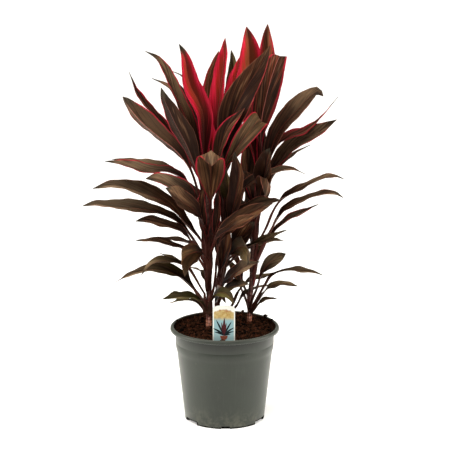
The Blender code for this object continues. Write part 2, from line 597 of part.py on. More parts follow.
def leaf_shape(leaf, seed, offset, grow=0.0):
    """A closed blade: triangles alike on both faces, so that the waved faces never cross."""
    _, length = leaf_curve(leaf, offset, 8)
    steps = min(max(round(length / SEGMENT_LENGTH), FEWEST_SEGMENTS), MOST_SEGMENTS)
    points, _ = leaf_curve(leaf, offset, steps)
    along, normals = leaf_frames(leaf, points)
    verts = []
    for k, (point, direction, normal) in enumerate(zip(points, along, normals)):
        u = k / steps
        sideways = direction.cross(normal)
        half = leaf_half_width(leaf, u) + grow
        fold = leaf_fold(leaf, u)
        rib = STALK_THICKNESS + (RIB_THICKNESS - STALK_THICKNESS) * smooth(u / 0.5)
        rib += (TIP_THICKNESS - rib) * smooth((u - 0.7) / 0.3)
        rib = rib / 2.0 + grow
        edge = EDGE_THICKNESS / 2.0 + grow
        rise = (half - grow) * math.sin(fold)
        point = point - normal * rise * RIB_SINK
        left = point - sideways * half * math.cos(fold)
        left += normal * (rise + WAVE_HEIGHT * leaf_wave(seed, u, 0))
        right = point + sideways * half * math.cos(fold)
        right += normal * (rise + WAVE_HEIGHT * leaf_wave(seed, u, 1))
        verts += [left + normal * edge, point + normal * rib, right + normal * edge,
                  right - normal * edge, point - normal * rib, left - normal * edge]
    faces = []
    for k in range(steps):
        a, b = k * 6, k * 6 + 6
        faces += [(a, a + 1, b + 1), (a, b + 1, b)]
        faces += [(a + 5, b + 4, a + 4), (a + 5, b + 5, b + 4)]
        faces += [(a + 1, a + 2, b + 2), (a + 1, b + 2, b + 1)]
        faces += [(a + 4, b + 3, a + 3), (a + 4, b + 4, b + 3)]
        faces += [(a + 2, a + 3, b + 3), (a + 2, b + 3, b + 2)]
        faces += [(a + 5, a, b), (a + 5, b, b + 5)]
    last = steps * 6
    faces += [(0, 5, 4), (0, 4, 1), (1, 4, 3), (1, 3, 2)]
    faces += [(last, last + 4, last + 5), (last, last + 1, last + 4)]
    faces += [(last + 1, last + 3, last + 4), (last + 1, last + 2, last + 3)]
    return verts, faces


def search_tree(verts, faces, first_face=0):
    return BVHTree.FromPolygons([tuple(v) for v in verts], faces[first_face:], all_triangles=False)


def place_leaves(obstacles):
    """Moves each leaf in depth, as little as can be, until it clears the other canes and the label."""
    placed = []
    chosen = []
    for seed, leaf in enumerate(LEAVES):
        body = leaf_body(leaf)
        best = None
        for attempt in range(DEPTH_TRIES * 2 + 1):
            offset = DEPTH_STEP * ((attempt + 1) // 2) * (1 if attempt % 2 else -1)
            verts, faces = leaf_shape(leaf, seed, offset, CLEARANCE)
            whole = search_tree(verts, faces)
            free_part = int(len(faces) * ROOT_SHARE)
            outer = search_tree(verts, faces, free_part)
            cost = SHIFT_COST * ((attempt + 1) // 2)
            for other_body, tree, _ in obstacles:
                if other_body != body and whole.overlap(tree):
                    cost += BLOCKED_COST
            for other_body, tree, other_outer in placed:
                if other_body != body:
                    if whole.overlap(tree):
                        cost += BLOCKED_COST
                elif outer.overlap(other_outer):
                    cost += CROSSING_COST
            if best is None or cost < best[0]:
                best = (cost, offset, whole, outer)
            if cost < CROSSING_COST:
                break
        chosen.append(best[1])
        placed.append((body, best[2], best[3]))
    return chosen


def leaf_body(leaf):
    return ("heart_" if leaf[8] == "new" else "stem_") + leaf[1]


# Pot, soil and label.

def revolve(profile, sides):
    points = []
    faces = []
    for radius, height in profile:
        for k in range(sides):
            angle = math.tau * k / sides
            points.append(Vector((radius * math.sin(angle), -radius * math.cos(angle), height)))
    rings = len(profile)
    for i in range(rings):
        for k in range(sides):
            a, b = i * sides + k, i * sides + (k + 1) % sides
            c, d = ((i + 1) % rings) * sides + (k + 1) % sides, ((i + 1) % rings) * sides + k
            faces.append((a, b, c, d))
    return points, faces


def close_disc(points, faces, ring_start, sides, height):
    """Adds a centre point and a fan of triangles to a ring of points."""
    centre = len(points)
    points.append(Vector((0.0, 0.0, height)))
    for k in range(sides):
        faces.append((ring_start + k, ring_start + (k + 1) % sides, centre))


def pot_outline():
    """Outer profile from the foot up to the lip."""
    return ((FOOT_RADIUS, 0.0), (BODY_FOOT_RADIUS, 0.012), (BODY_TOP_RADIUS, BODY_TOP),
            (COLLAR_RADIUS - 0.0007, COLLAR_FOOT), (COLLAR_RADIUS + 0.0003, 0.1745),
            (LIP_RADIUS, 0.1765), (LIP_RADIUS, 0.1815), (LIP_RADIUS - 0.0025, POT_HEIGHT))


POT_FLOOR = FOOT_GAP_HEIGHT + POT_WALL


def floor_profile(gap):
    """The pot's floor inside, from the wall down to the sunk centre, a gap above it."""
    wall = BODY_FOOT_RADIUS - POT_WALL - gap
    sunk = CENTRE_FOOT_RADIUS - POT_WALL - gap
    return [(wall, POT_FLOOR + 0.004 + gap), (wall - 0.003, POT_FLOOR + gap), (sunk, POT_FLOOR + gap),
            (sunk - CENTRE_FOOT_TAPER, POT_WALL + gap)]


def make_pot():
    inner = [(LIP_RADIUS - 0.0060, POT_HEIGHT), (COLLAR_RADIUS - POT_WALL, 0.1740),
             (COLLAR_RADIUS - 0.0007 - POT_WALL, COLLAR_FOOT),
             (BODY_TOP_RADIUS - POT_WALL, BODY_TOP - 0.0005)]
    under = [(FOOT_RADIUS - FOOT_RING_WIDTH, 0.0), (FOOT_RADIUS - FOOT_RING_WIDTH, FOOT_GAP_HEIGHT),
             (CENTRE_FOOT_RADIUS, FOOT_GAP_HEIGHT), (CENTRE_FOOT_RADIUS - CENTRE_FOOT_TAPER, 0.0)]
    profile = list(reversed(under)) + list(pot_outline()) + inner + floor_profile(0.0)
    points, faces = revolve(profile, POT_SIDES)
    rings = len(profile)
    faces = faces[:(rings - 1) * POT_SIDES]
    close_disc(points, faces, 0, POT_SIDES, 0.0)
    close_disc(points, faces, (rings - 1) * POT_SIDES, POT_SIDES, POT_WALL)
    pot = make_object("pot", points, faces, make_material("pot", POT_COLOUR, 0.45))
    cutters = [ring_cutter("foot_notch", FOOT_NOTCH_CENTRE, FOOT_NOTCH_DEGREES, FOOT_NOTCH_HEIGHT)]
    for centre in FOOT_GAP_CENTRES:
        cutters.append(ring_cutter("foot_gap", centre, FOOT_GAP_DEGREES, FOOT_GAP_HEIGHT))
    apply_boolean(pot, "DIFFERENCE", cutters, "EXACT")
    keep_main_body(pot)
    return pot


def ring_cutter(name, centre, width, height):
    """A wedge across the foot ring. Angles are in degrees from the front, positive to the right."""
    points = []
    for level in (-0.002, height):
        for radius in (FOOT_RADIUS - FOOT_RING_WIDTH - 0.002, FOOT_RADIUS + 0.006):
            for step in range(4):
                angle = math.radians(centre + width * (step / 3.0 - 0.5))
                points.append(Vector((radius * math.sin(angle), -radius * math.cos(angle), level)))
    faces = []
    for k in range(3):
        faces += [(k, k + 1, k + 5, k + 4), (k + 8, k + 12, k + 13, k + 9)]
        faces += [(k, k + 8, k + 9, k + 1), (k + 4, k + 5, k + 13, k + 12)]
    faces += [(0, 4, 12, 8), (3, 11, 15, 7)]
    return make_object(name, points, faces)


def soil_height(x, y):
    """Lumps by a sum of waves, on a low mound that falls towards the pot's wall."""
    reach = math.hypot(x, y) / COLLAR_RADIUS
    lumps = math.sin(x * 148.0 + 1.3) * math.cos(y * 131.0 - 0.7)
    lumps += 0.6 * math.sin(x * 233.0 - y * 171.0 + 0.4)
    lumps += 0.4 * math.cos(y * 287.0 + x * 95.0 + 2.1)
    return SOIL_TOP + SOIL_MOUND * (1.0 - reach * reach) + SOIL_LUMP * lumps * smooth((1.02 - reach) * 6.0)


def make_soil(canes):
    inside = SOIL_GAP + SOIL_SLACK
    top_radius = COLLAR_RADIUS - POT_WALL - inside
    profile = list(reversed(floor_profile(SOIL_GAP)))
    profile += [(BODY_TOP_RADIUS - POT_WALL - inside, BODY_TOP - 0.0005),
                (top_radius - 0.0007, COLLAR_FOOT), (top_radius, 0.1735)]
    points = []
    faces = []
    for radius, height in profile:
        for k in range(SOIL_SIDES):
            angle = math.tau * k / SOIL_SIDES
            points.append(Vector((radius * math.sin(angle), -radius * math.cos(angle), height)))
    for i in range(SOIL_RINGS, 0, -1):
        radius = top_radius * (i / SOIL_RINGS if i < SOIL_RINGS else SOIL_EDGE)
        for k in range(SOIL_SIDES):
            angle = math.tau * k / SOIL_SIDES
            x, y = radius * math.sin(angle), -radius * math.cos(angle)
            points.append(Vector((x, y, soil_height(x, y))))
    rings = len(points) // SOIL_SIDES
    for i in range(rings - 1):
        for k in range(SOIL_SIDES):
            a, b = i * SOIL_SIDES + k, i * SOIL_SIDES + (k + 1) % SOIL_SIDES
            faces.append((a, b, b + SOIL_SIDES, a + SOIL_SIDES))
    close_disc(points, faces, (rings - 1) * SOIL_SIDES, SOIL_SIDES, soil_height(0.0, 0.0))
    faces.append(tuple(range(SOIL_SIDES - 1, -1, -1)))
    soil = make_object("soil", points, faces, make_material("soil", SOIL_COLOUR, 0.95))
    cutters = []
    for cane in canes:
        foot = cane_points(cane)[0]
        radius = cane_radii(cane)[0] / math.cos(math.pi / HOLE_SIDES) + HOLE_CLEARANCE
        levels = (CANE_FOOT - BUD_GAP, HOLE_TOP)
        bottom = [Vector((foot.x, foot.y, z)) for z in levels]
        cutters.append(make_object("hole_" + cane, *tube(bottom, [radius, radius], HOLE_SIDES)))
    cutters.append(slot_cutter("stake_slot", STAKE_WIDTH / 2, STAKE_BOTTOM))
    cutters.append(slot_cutter("card_slot", LABEL_WIDTH / 2, LABEL_BOTTOM))
    apply_boolean(soil, "DIFFERENCE", cutters, "EXACT")
    keep_main_body(soil)
    return soil


def label_point(x, y, height):
    """A point of the leaning label: x across it, y through it, height up it."""
    rise = height - LABEL_BOTTOM
    back = math.sin(LABEL_LEAN) * rise + y * math.cos(LABEL_LEAN)
    up = LABEL_BOTTOM + math.cos(LABEL_LEAN) * rise - y * math.sin(LABEL_LEAN)
    return Vector((LABEL_ACROSS + x, LABEL_DEPTH + back, up))


def slot_cutter(name, half, bottom):
    """A box round the label, clear of it, from just below the given height up."""
    side = half + HOLE_CLEARANCE
    thick = LABEL_THICKNESS / 2 + HOLE_CLEARANCE
    corners = [label_point(x, y, z) for z in (bottom - HOLE_CLEARANCE, HOLE_TOP)
               for x, y in ((-side, -thick), (side, -thick), (side, thick), (-side, thick))]
    return make_object(name, corners, [(0, 3, 2, 1), (4, 5, 6, 7), (0, 1, 5, 4), (1, 2, 6, 5),
                                       (2, 3, 7, 6), (3, 0, 4, 7)])


def label_outline():
    half, stake = LABEL_WIDTH / 2, STAKE_WIDTH / 2
    outline = [(-stake, STAKE_BOTTOM), (stake, STAKE_BOTTOM), (stake, LABEL_BOTTOM), (half, LABEL_BOTTOM)]
    for k in range(ARCH_STEPS + 1):
        share = k / ARCH_STEPS
        outline.append((half * math.cos(math.pi * share),
                        LABEL_SHOULDER + (LABEL_TOP - LABEL_SHOULDER) * math.sin(math.pi * share)))
    outline += [(-half, LABEL_BOTTOM), (-stake, LABEL_BOTTOM)]
    return outline


def label_shape():
    outline = label_outline()
    count = len(outline)
    thick = LABEL_THICKNESS / 2
    points = [label_point(x, y, z) for y in (-thick, thick) for x, z in outline]
    faces = [tuple(range(count)), tuple(range(2 * count - 1, count - 1, -1))]
    faces += [(k, (k + 1) % count, count + (k + 1) % count, count + k) for k in range(count)]
    return points, faces


def make_label():
    label = make_object("label", *label_shape(), make_material("label", LABEL_COLOUR, 0.40))
    keep_main_body(label)
    return label


def make_plant():
    obstacles = [(None, search_tree(*label_shape()), None)]
    for cane in CANES:
        obstacles.append(("stem_" + cane, search_tree(*cane_shape(cane)), None))
        obstacles.append(("heart_" + cane, search_tree(*bud_shape(cane)), None))
    offsets = place_leaves(obstacles)
    for cane in CANES:
        for body, core in (("stem_" + cane, cane_shape(cane)), ("heart_" + cane, bud_shape(cane))):
            colour = NEW_RED if body.startswith("heart") else STEM_COLOURS[cane]
            item = make_object(body, *core, make_material(body, colour, 0.35))
            repeats = []
            for seed, leaf in enumerate(LEAVES):
                if leaf_body(leaf) == body:
                    repeats.append(make_object(leaf[0], *leaf_shape(leaf, seed, offsets[seed])))
            apply_boolean(item, "UNION", repeats, "MANIFOLD")
            keep_main_body(item)


clear_scene()
make_pot()
make_soil(CANES)
make_label()
make_plant()
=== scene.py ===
"""Dresses the ti plant in its pot: fine leaves, canes, potting mix, pot and label, in a plain pale studio.

Metres, +Z up, -Y is the front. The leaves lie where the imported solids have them: the tables and the rule
that clears them of each other are the same as the part's.
"""

import math
import random
from collections import namedtuple

import bmesh
import bpy
import numpy as np
from mathutils import Matrix, Vector, noise
from mathutils.bvhtree import BVHTree


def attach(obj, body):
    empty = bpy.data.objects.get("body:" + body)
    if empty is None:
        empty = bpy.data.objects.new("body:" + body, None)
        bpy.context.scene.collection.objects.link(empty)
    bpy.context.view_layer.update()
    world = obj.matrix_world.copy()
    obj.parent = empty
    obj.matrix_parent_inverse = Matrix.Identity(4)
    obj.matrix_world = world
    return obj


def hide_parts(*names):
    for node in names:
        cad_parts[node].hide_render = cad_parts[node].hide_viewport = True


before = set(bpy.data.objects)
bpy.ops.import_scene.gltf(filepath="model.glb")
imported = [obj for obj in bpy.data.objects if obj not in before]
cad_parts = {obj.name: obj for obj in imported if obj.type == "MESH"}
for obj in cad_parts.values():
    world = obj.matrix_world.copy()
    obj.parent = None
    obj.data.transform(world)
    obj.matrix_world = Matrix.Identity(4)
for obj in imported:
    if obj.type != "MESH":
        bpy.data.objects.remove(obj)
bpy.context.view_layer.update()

# Pot, in metres.
POT_HEIGHT = 0.184
LIP_RADIUS = 0.105
COLLAR_RADIUS = 0.095
COLLAR_FOOT = 0.1430
BODY_TOP_RADIUS = 0.0917
BODY_TOP = 0.1345
BODY_FOOT_RADIUS = 0.0780
FOOT_RADIUS = 0.0767
POT_WALL = 0.0018
FOOT_RING_WIDTH = 0.006
CENTRE_FOOT_RADIUS = 0.030
CENTRE_FOOT_TAPER = 0.002
FOOT_GAP_HEIGHT = 0.006
FOOT_GAP_DEGREES = 26.0
FOOT_GAP_CENTRES = (63.0, 183.0, 303.0)
FOOT_NOTCH_HEIGHT = 0.003
FOOT_NOTCH_DEGREES = 13.0
FOOT_NOTCH_CENTRE = 1.5
POT_FLOOR = FOOT_GAP_HEIGHT + POT_WALL

# Soil, in metres.
SOIL_GAP = 0.0004
SOIL_SLACK = 0.0002
SOIL_TOP = 0.1782
SOIL_MOUND = 0.0035
SOIL_LUMP = 0.0022
CANE_FOOT = 0.120

# Label, in metres.
LABEL_WIDTH = 0.042
LABEL_SHOULDER = 0.2405
LABEL_TOP = 0.2475
LABEL_RISE = LABEL_TOP - LABEL_SHOULDER
LABEL_BOTTOM = 0.1790
LABEL_THICKNESS = 0.0012
LABEL_ACROSS = -0.0015
LABEL_DEPTH = -0.0840
LABEL_LEAN = math.radians(4.0)
STAKE_WIDTH = 0.016
STAKE_BOTTOM = 0.1350
ARCH_STEPS = 8

# Front grid.
GRID_STEP = 0.001904
GRID_COLUMN = 225.0
GRID_ROW = 225.0
GRID_AIM = 0.383
EYE_DISTANCE = 4.0
EYE_RISE = math.radians(14.0)

# Canes and leaves, in metres.
CANE_SIDES = 12
CANE_FLUTES = 0.10
BUD_GAP = 0.0004
BUD_LENGTH = 0.016
BUD_SIDES = 8
BUD_TIP_RADIUS = 0.0022
STALK_HALF_WIDTH = 0.0034
SHEATH_HALF_WIDTH = 0.0050
STALK_THICKNESS = 0.0026
RIB_THICKNESS = 0.0016
TIP_THICKNESS = 0.0010
EDGE_THICKNESS = 0.0009
TIP_HALF_WIDTH = 0.0007
STALK_FOLD = math.radians(50.0)
RIB_SINK = 0.55
WAVE_HEIGHT = 0.0022
SEGMENT_LENGTH = 0.0272
FEWEST_SEGMENTS = 5
MOST_SEGMENTS = 11
CURVE_STEPS = 12
CLEARANCE = 0.0009
DEPTH_STEP = 0.007
DEPTH_TRIES = 16
BLADE_START = 1.05
RAMP_END = 0.28
ROOT_SHARE = 0.30
SHIFT_COST = 0.2
CROSSING_COST = 2
BLOCKED_COST = 1000

# Each cane: (column, row, depth, radius in millimetres) points upwards from the soil. The leaf sheaths
# that wrap a cane make it thickest in the middle.
CANES = {
    "left": ((209, 327, 0.0, 5.3), (209.0, 310, 0.0, 5.3), (209.5, 294, 0.0, 6.8), (209.6, 276, 0.0, 7.6),
             (208.9, 258, 0.2, 8.4), (208, 240, 0.4, 9.0), (208.5, 222, 0.5, 9.5), (208, 195, 0.5, 4.6)),
    "middle": ((217, 321, 4.4, 4.6), (217, 303, 4.4, 4.6), (218.5, 286, 4.4, 5.6), (221.5, 264, 4.4, 6.6),
               (224.5, 240, 4.4, 7.0), (225, 215, 4.4, 7.4), (223, 192, 4.4, 4.5)),
    "right": ((249.5, 323, 3.7, 4.8), (250.2, 306, 3.7, 4.8), (251, 288, 3.7, 5.6), (252.5, 264, 3.8, 7.0),
              (253.7, 240, 3.9, 7.2), (254.8, 215, 4.0, 6.5), (257, 190, 4.0, 4.5)),
}

# Each leaf: name, tone, row where it leaves the cane, blade width in millimetres, how far the upper face
# turns up from facing the front in degrees, fold of each half in degrees, share of the length that is
# stalk, how drawn-out the tip is, and the points of its rib as column,row or column,row,depth. The name
# holds the cane's, and row 0 is the cane's heart. A long row goes on in an indented line.
LEAF_TABLE = """
# New leaves in the three hearts.
new_left_a new 0 40 22 24 .16 .85  205,160 205,118 199,100 191,84 186.5,62 183.5,52 179.5,44,1.5
new_left_b new 0 24 50 40 .14 .8  211,165 211,135 209,112 206,97,4.5
new_middle_a new 0 38 34 32 .16 .8  219,160 216.5,125 218,95 221.5,72 224.5,52 225.5,38,4.5
new_middle_b new 0 34 44 30 .24 .85  226,160 228,120 232,96 234,79 237,69 240,57,2.5
new_right_a new 0 62 16 22 .16 .86  256,150 254,120 251,85 250.5,60 249.3,42 246.8,26.5,8
new_right_b new 0 30 45 36 .18 .8  260,150 263,120 266,95 268,78,4.5
# Leaves that bend or stand at the front.
left_bow bronze 250 66 4 32 .42 .82  211,215,-2 211,190,-3.5 211,168,-5 211,156.5,-6.6 211.5,154.2,-8.2
    211.5,158,-9.6 212,166,-10.4
right_bend bronze 226 34 20 22 .26 .8  260,194,-1 265,180,-5 267,184,-9 266,196,-12
middle_bend olive 268 46 10 22 .24 .8  234,250,-1 243,247,-6 248,254,-11 248,265,-14
left_bend olive 264 42 0 22 .3 .8  201,252,-6 190,254,-11 184,262,-14.5 185,276,-17
left_low_f olive 303 22 36 20 .24 .95  215.5,294,-4 223,292,-7 230.5,296.5,-9 234,304,-10
left_front rose 248 40 12 24 .46 .55  214,212,-1 218,190,-2.5 225,167,-4.5 238,146,-7.5 251,129,-8
    260,119,-5.5 264,124,-1.5
middle_front_a dark 244 57 18 20 .43 1.12  225,182,0 226,152,-1.5 231.5,118,-2 241.5,95,-2 255,73.5,-1
    265,57,.5 270.5,45,1.5
# Crown of the left cane.
left_fan_a bronze 238 54 132 27 .42 .72  197.5,187 183,156 158,132.5 137.5,114 123,96.5,4
left_fan_b rose 230 32 60 24 .38 1.25  200,172 184,149 157.5,116.5 137.5,92 132.5,80 129.5,72,9
left_fan_c rose 242 36 52 24 .38 1  201,160,3 191.5,126 181.5,101 170.5,78 158.5,59 145.5,51,7
left_fan_d bronze 224 32 44 22 .36 1.1  196,142 182.5,105 170.5,87.5 152,78,14
left_fan_e dark 244 48 142 20 .41 .95  200,180 187.5,143 174.5,117.5 165,99 161.5,87.5,-5
left_fan_f dark 220 28 60 22 .36 1  204,150 193,101 184,78 171.5,70.5,15
left_fan_g dark 226 24 62 22 .4 .9  203,160 194,114 186,95 178,82,11
left_in_a rose 266 24 24 40 .36 .8  205,238,-1.6 202,218,-2.6 201,202,-3.2 203,188,-3.6
left_in_b rose 262 24 30 40 .36 .8  214,236,-1.2 217.5,218,-2.2 218.5,202,-2.8 218,190,-3.2
# Left side of the left cane, from the top down.
left_wing_a bronze 240 34 67 20 .41 .95  193,189 173,171 151,163 130,160.5 112,159,5
left_wing_b bronze 246 38 62 22 .42 1  191,190 172,171 147,169 121,163 105,161,-1
left_wing_c bronze 250 40 58 22 .4 .95  194,198 178,186 160,178.5 146,178.5,-11
left_wing_d bronze 254 50 57 22 .14 .95  203.5,242 192.5,229 180,213 165,200.5 148,192.5 130,187 112,184.5
    93,188.5,-2
left_wing_e dark 236 44 46 22 .3 .9  200,215 185,201 166,188,-15
left_wing_f bronze 265 42 56 22 .25 .85  201.5,250 181.5,223.5 162,212 140,207.5 115,205 96,203.5 82.5,206,3
left_wing_g dark 270 28 62 20 .38 .9  198,250 184,232 168,224 150,220 136,221,-8
left_wing_h dark 264 23 68 20 .28 1.15  201,249.5 187,241.5 172,238.3 157,236.5,8
left_wing_i dark 276 27 68 20 .26 .9  198,256 183,247 166,242.5 150,240 136,240.5,-6
left_low_a olive 302 22 68 20 .46 1.1  200,297 190,279 182,263 171,257 160,253,5
left_low_b olive 298 25 64 22 .42 1.05  205,292 191,270 178,261.5 163,260 151,264 141.5,275,-3
left_low_c olive 306 42 56 22 .2 1.7  203,298 193,287 181,274.5 166,269 148,269 131,273.5 116,282,-3
left_low_d olive 312 31 60 22 .14 1  200,299 188,295.8 176,296.5 163,299,-9
left_low_e olive 315 16 66 20 .26 1.15  197,302 182,299.5 168,303,5
left_low_g olive 300 18 60 20 .3 .95  206,283 203,272 197,268 189,266.5,9
left_cross bronze 303 36 50 22 .43 .95  214,286 216.5,259 221,236 236,221 254,211 273,203,-9
left_cross_b bronze 262 32 60 22 .34 .95  216,238 228,229 242,222 259,215,-13
# Crown of the middle cane.
middle_fan_a bronze 234 46 40 26 .38 .8  216,160,7 212,122,8 209.5,96,8.5 212,74,9 219,51,10
middle_fan_b dark 228 26 30 22 .42 .75  226,165,7.5 228,110,10 232,82,11 233.5,62,12 231.5,50,12.5
middle_fan_c bronze 236 34 50 22 .44 .9  218,170,2 220,146,1 227,128,.5 237,117,.5 245,108,.5
middle_front_c olive 236 36 36 20 .26 .8  227.5,214,0 229,196,-3 227.5,182,-5 225,168,-6.5
middle_front_d dark 240 36 30 20 .24 .9  231,214,0 236,193,-3 238,172,-5 235,151,-7
middle_in_a dark 284 32 30 22 .26 .85  222,262,1.5 225,246,0 227,232,-1 229,219,-2
middle_in_b dark 276 36 44 22 .3 .9  219,252,3 217,234,3.5 214,220,4 213,208,5
middle_in_c dark 244 38 36 22 .28 .85  230,216,4.5 236,197,6 241,181,7 244,166,8
middle_front_e dark 266 40 30 20 .28 .8  230,253,1 238,240,-2 247,230,-4 255,222,-5
middle_wing_a bronze 242 34 64 20 .4 1.7  230,203 240,189 256,178.5 274,171.5 290,168 305,173.5,-3
middle_wing_b bronze 234 36 60 20 .28 .95  236,212 252,205 268,202 281,200,-6
middle_wing_c olive 264 26 64 20 .32 .95  239,250 252,244 265,239 277,234 287,230,0
middle_wing_d olive 272 22 66 20 .32 .95  239,253 252,246 265,242.5 277,240 285,241,8
middle_low_a bronze 296 36 46 22 .16 1.25  224,283,2 234,273 246,266 260,261.5,-9
middle_low_b olive 306 27 46 22 .14 1  226,288,1.5 237,284.5,-2.5 249,284,-6
middle_low_c dark 312 30 40 22 .2 .8  216,302,.5 218,294,-3 223,292,-6 226,303,-8
middle_low_d olive 317 20 60 20 .46 .95  231,306,3 239,290.5 249,281 262,276 276,272,6
middle_low_e olive 318 20 60 20 .46 .95  234,308,2 242,296 252,289 263,286 273,285,8
# Crown of the right cane.
right_fan_a bronze 236 45 20 24 .37 .82  260,168 260.5,115 264.5,80 267.5,52 267.5,36 268,24,11.5
right_fan_b rose 244 53 22 8 .48 .98  261,175,2 261,125,.5 266,98,.5 272.5,74,1 278,59,2 281,55.5,3.6 283,59,6
right_fan_c dark 236 26 40 22 .38 .9  258,184,1 259,150,-2.5 263,130,-4 268.5,118.5,-5
right_front_a rose 226 36 30 20 .24 .85  253,204,6 249,178,8 247,158,9 246,138,10
right_front_b dark 216 44 36 20 .24 .85  260,194,.5 263,178,-3 266,162,-6 270,148,-8
right_front_c dark 222 36 34 20 .26 .9  256,204,1 252,190,-1.5 247,179,-3.5 241,170,-5
right_in_c dark 262 40 30 22 .28 .85  251,238,1 246,222,-1 242,208,-2.5 240,198,-3
right_in_d bronze 252 38 40 22 .28 .9  253,227,4 252,207,4 253,189,4 256,173,4.5
# Right side of the right cane, from the top down.
right_wing_a bronze 238 48 45 24 .38 .82  265,174 271,146 281,126 297,108 309,96.5 317.5,91 323.5,96,-3
right_wing_b rose 242 30 62 20 .4 1.9  266,175 274,147 289,136 303,131.5 314,123 326,111.5 338,97,5
right_wing_c bronze 246 46 52 22 .4 1  267,182 279,159 293,144 310,135 325,127 337,119.5,-4
right_wing_d dark 232 24 66 20 .41 1.15  267,187 277,169 289,157 300,150 311,144.5,9
right_wing_e bronze 248 27 66 20 .34 .95  265,229 273,211 282,199 293,191.5 306,184.5 322,178.3 335,176
    344.5,179,4
right_wing_f bronze 266 24 66 20 .32 .95  266,239 276.5,219.5 289,206 305,198 322,193.5 335,193 343.5,197.5,-3
right_wing_g rose 272 26 64 20 .3 .95  263.5,247 273,231 288,218.8 304,211 319,204,8
right_low_a olive 306 27 28 22 .54 .85  256,289 262,273 268,264 277,258 286,253.5,-8
right_low_b olive 310 18 66 22 .42 .95  263,287 272,275 285,270 299,269.5 313,271.5 323,275,-2
right_low_d olive 313 16 64 20 .3 .95  258,299.5 267.5,288.5 282,283 298,286,-7
right_low_f olive 315 13 62 20 .34 1.15  257,305 266,299 277,298.5,-3.5
right_in_a olive 311 26 56 20 .46 1  246,299,4.5 240,284 234,270 226,258 218,250,13
right_in_b dark 306 24 56 20 .46 1  248,295,5.5 243,282 239,268 234,254 228,246,17
# Leaves at the back of the three canes.
left_back_a dark 240 44 40 22 .34 .9  204,192 196,160 187,134 180,116,20
left_back_b dark 244 44 46 22 .28 .9  206,218 197,196 184,184 172,181,22
left_back_c olive 276 40 50 22 .3 .9  208,254 206,232 203,214 199,202,20
middle_back_a dark 236 46 36 22 .36 .9  224,187 228,150 236,122 243,98,20
middle_back_b dark 230 46 40 22 .26 .9  222,202 218,170 212,146 206,130,24
middle_back_c dark 254 42 44 22 .28 .9  228,228 234,206 242,190 250,181,26
middle_back_d olive 288 32 50 22 .34 .9  224,270 222,254 216,246 209,243,22
right_back_a dark 242 46 38 22 .35 .9  258,192 258,162 259,132 260,108,21
right_back_b dark 240 42 44 22 .3 .9  259,218 262,200 266,186 272,176,22
right_back_c olive 278 34 50 22 .34 .9  256,260 260,246 265,238 272,236,20
"""
Leaf = namedtuple("Leaf", "name cane row width turn fold stalk drawn tone marks")


def read_leaf(line):
    name, tone, *columns = line.split()
    cane = next(part for part in name.split("_") if part in CANES)
    marks = [tuple(float(number) for number in mark.split(",")) for mark in columns[6:]]
    return Leaf(name, cane, *[float(number) for number in columns[:6]], tone, marks)


LEAF_LINES = LEAF_TABLE.replace("\n    ", " ").strip().split("\n")
LEAVES = [read_leaf(line) for line in LEAF_LINES if not line.startswith("#")]


EYE = Vector((0.0, -EYE_DISTANCE * math.cos(EYE_RISE), GRID_AIM + EYE_DISTANCE * math.sin(EYE_RISE)))
SIGHT = Vector((0.0, math.cos(EYE_RISE), -math.sin(EYE_RISE)))
SIGHT_UP = Vector((0.0, math.sin(EYE_RISE), math.cos(EYE_RISE)))


def grid_point(column, row, depth):
    """The point on the line of sight through a grid crossing, depth metres behind the pot's axis."""
    across = (column - GRID_COLUMN) * GRID_STEP / EYE_DISTANCE
    up = (GRID_ROW - row) * GRID_STEP / EYE_DISTANCE
    ray = SIGHT + SIGHT_UP * up + Vector((across, 0.0, 0.0))
    return EYE + ray * ((depth - EYE.y) / ray.y)


def smooth(value):
    value = min(max(value, 0.0), 1.0)
    return value * value * (3.0 - 2.0 * value)


def curve_through(points, steps):
    """Points evenly spaced along a smooth curve through the given ones."""
    ends = [points[0] * 2.0 - points[1]] + list(points) + [points[-1] * 2.0 - points[-2]]
    dense = []
    for k in range(1, len(ends) - 2):
        a, b, c, d = ends[k - 1], ends[k], ends[k + 1], ends[k + 2]
        for j in range(CURVE_STEPS):
            t = j / CURVE_STEPS
            dense.append(0.5 * ((2.0 * b) + (c - a) * t + (2.0 * a - 5.0 * b + 4.0 * c - d) * t * t
                                + (3.0 * b - a - 3.0 * c + d) * t * t * t))
    dense.append(points[-1].copy())
    lengths = [0.0]
    for k in range(1, len(dense)):
        lengths.append(lengths[-1] + (dense[k] - dense[k - 1]).length)
    even = []
    k = 0
    for j in range(steps + 1):
        goal = lengths[-1] * j / steps
        while k < len(dense) - 2 and lengths[k + 1] < goal:
            k += 1
        share = (goal - lengths[k]) / max(lengths[k + 1] - lengths[k], 1e-9)
        even.append(dense[k].lerp(dense[k + 1], min(max(share, 0.0), 1.0)))
    return even, lengths[-1]


def directions(points):
    found = []
    for k in range(len(points)):
        before = points[max(k - 1, 0)]
        after = points[min(k + 1, len(points) - 1)]
        found.append((after - before).normalized())
    return found


def cane_points(cane):
    return [grid_point(c, r, d / 100.0) for c, r, d, _ in CANES[cane]]


def cane_radii(cane):
    return [mark[3] / 1000.0 for mark in CANES[cane]]


def cane_spot(cane, row):
    """The cane's centre at a grid row."""
    marks = CANES[cane]
    for low, high in zip(marks, marks[1:]):
        if high[1] <= row <= low[1]:
            share = (low[1] - row) / (low[1] - high[1])
            column = low[0] + (high[0] - low[0]) * share
            return grid_point(column, row, (low[2] + (high[2] - low[2]) * share) / 100.0)
    return cane_points(cane)[-1]


def ring_faces(rings, sides, first=0):
    """Four-sided faces between rings of points that follow each other."""
    faces = []
    for i in range(rings - 1):
        for k in range(sides):
            a, b = first + i * sides + k, first + i * sides + (k + 1) % sides
            faces.append((a, b, b + sides, a + sides))
    return faces


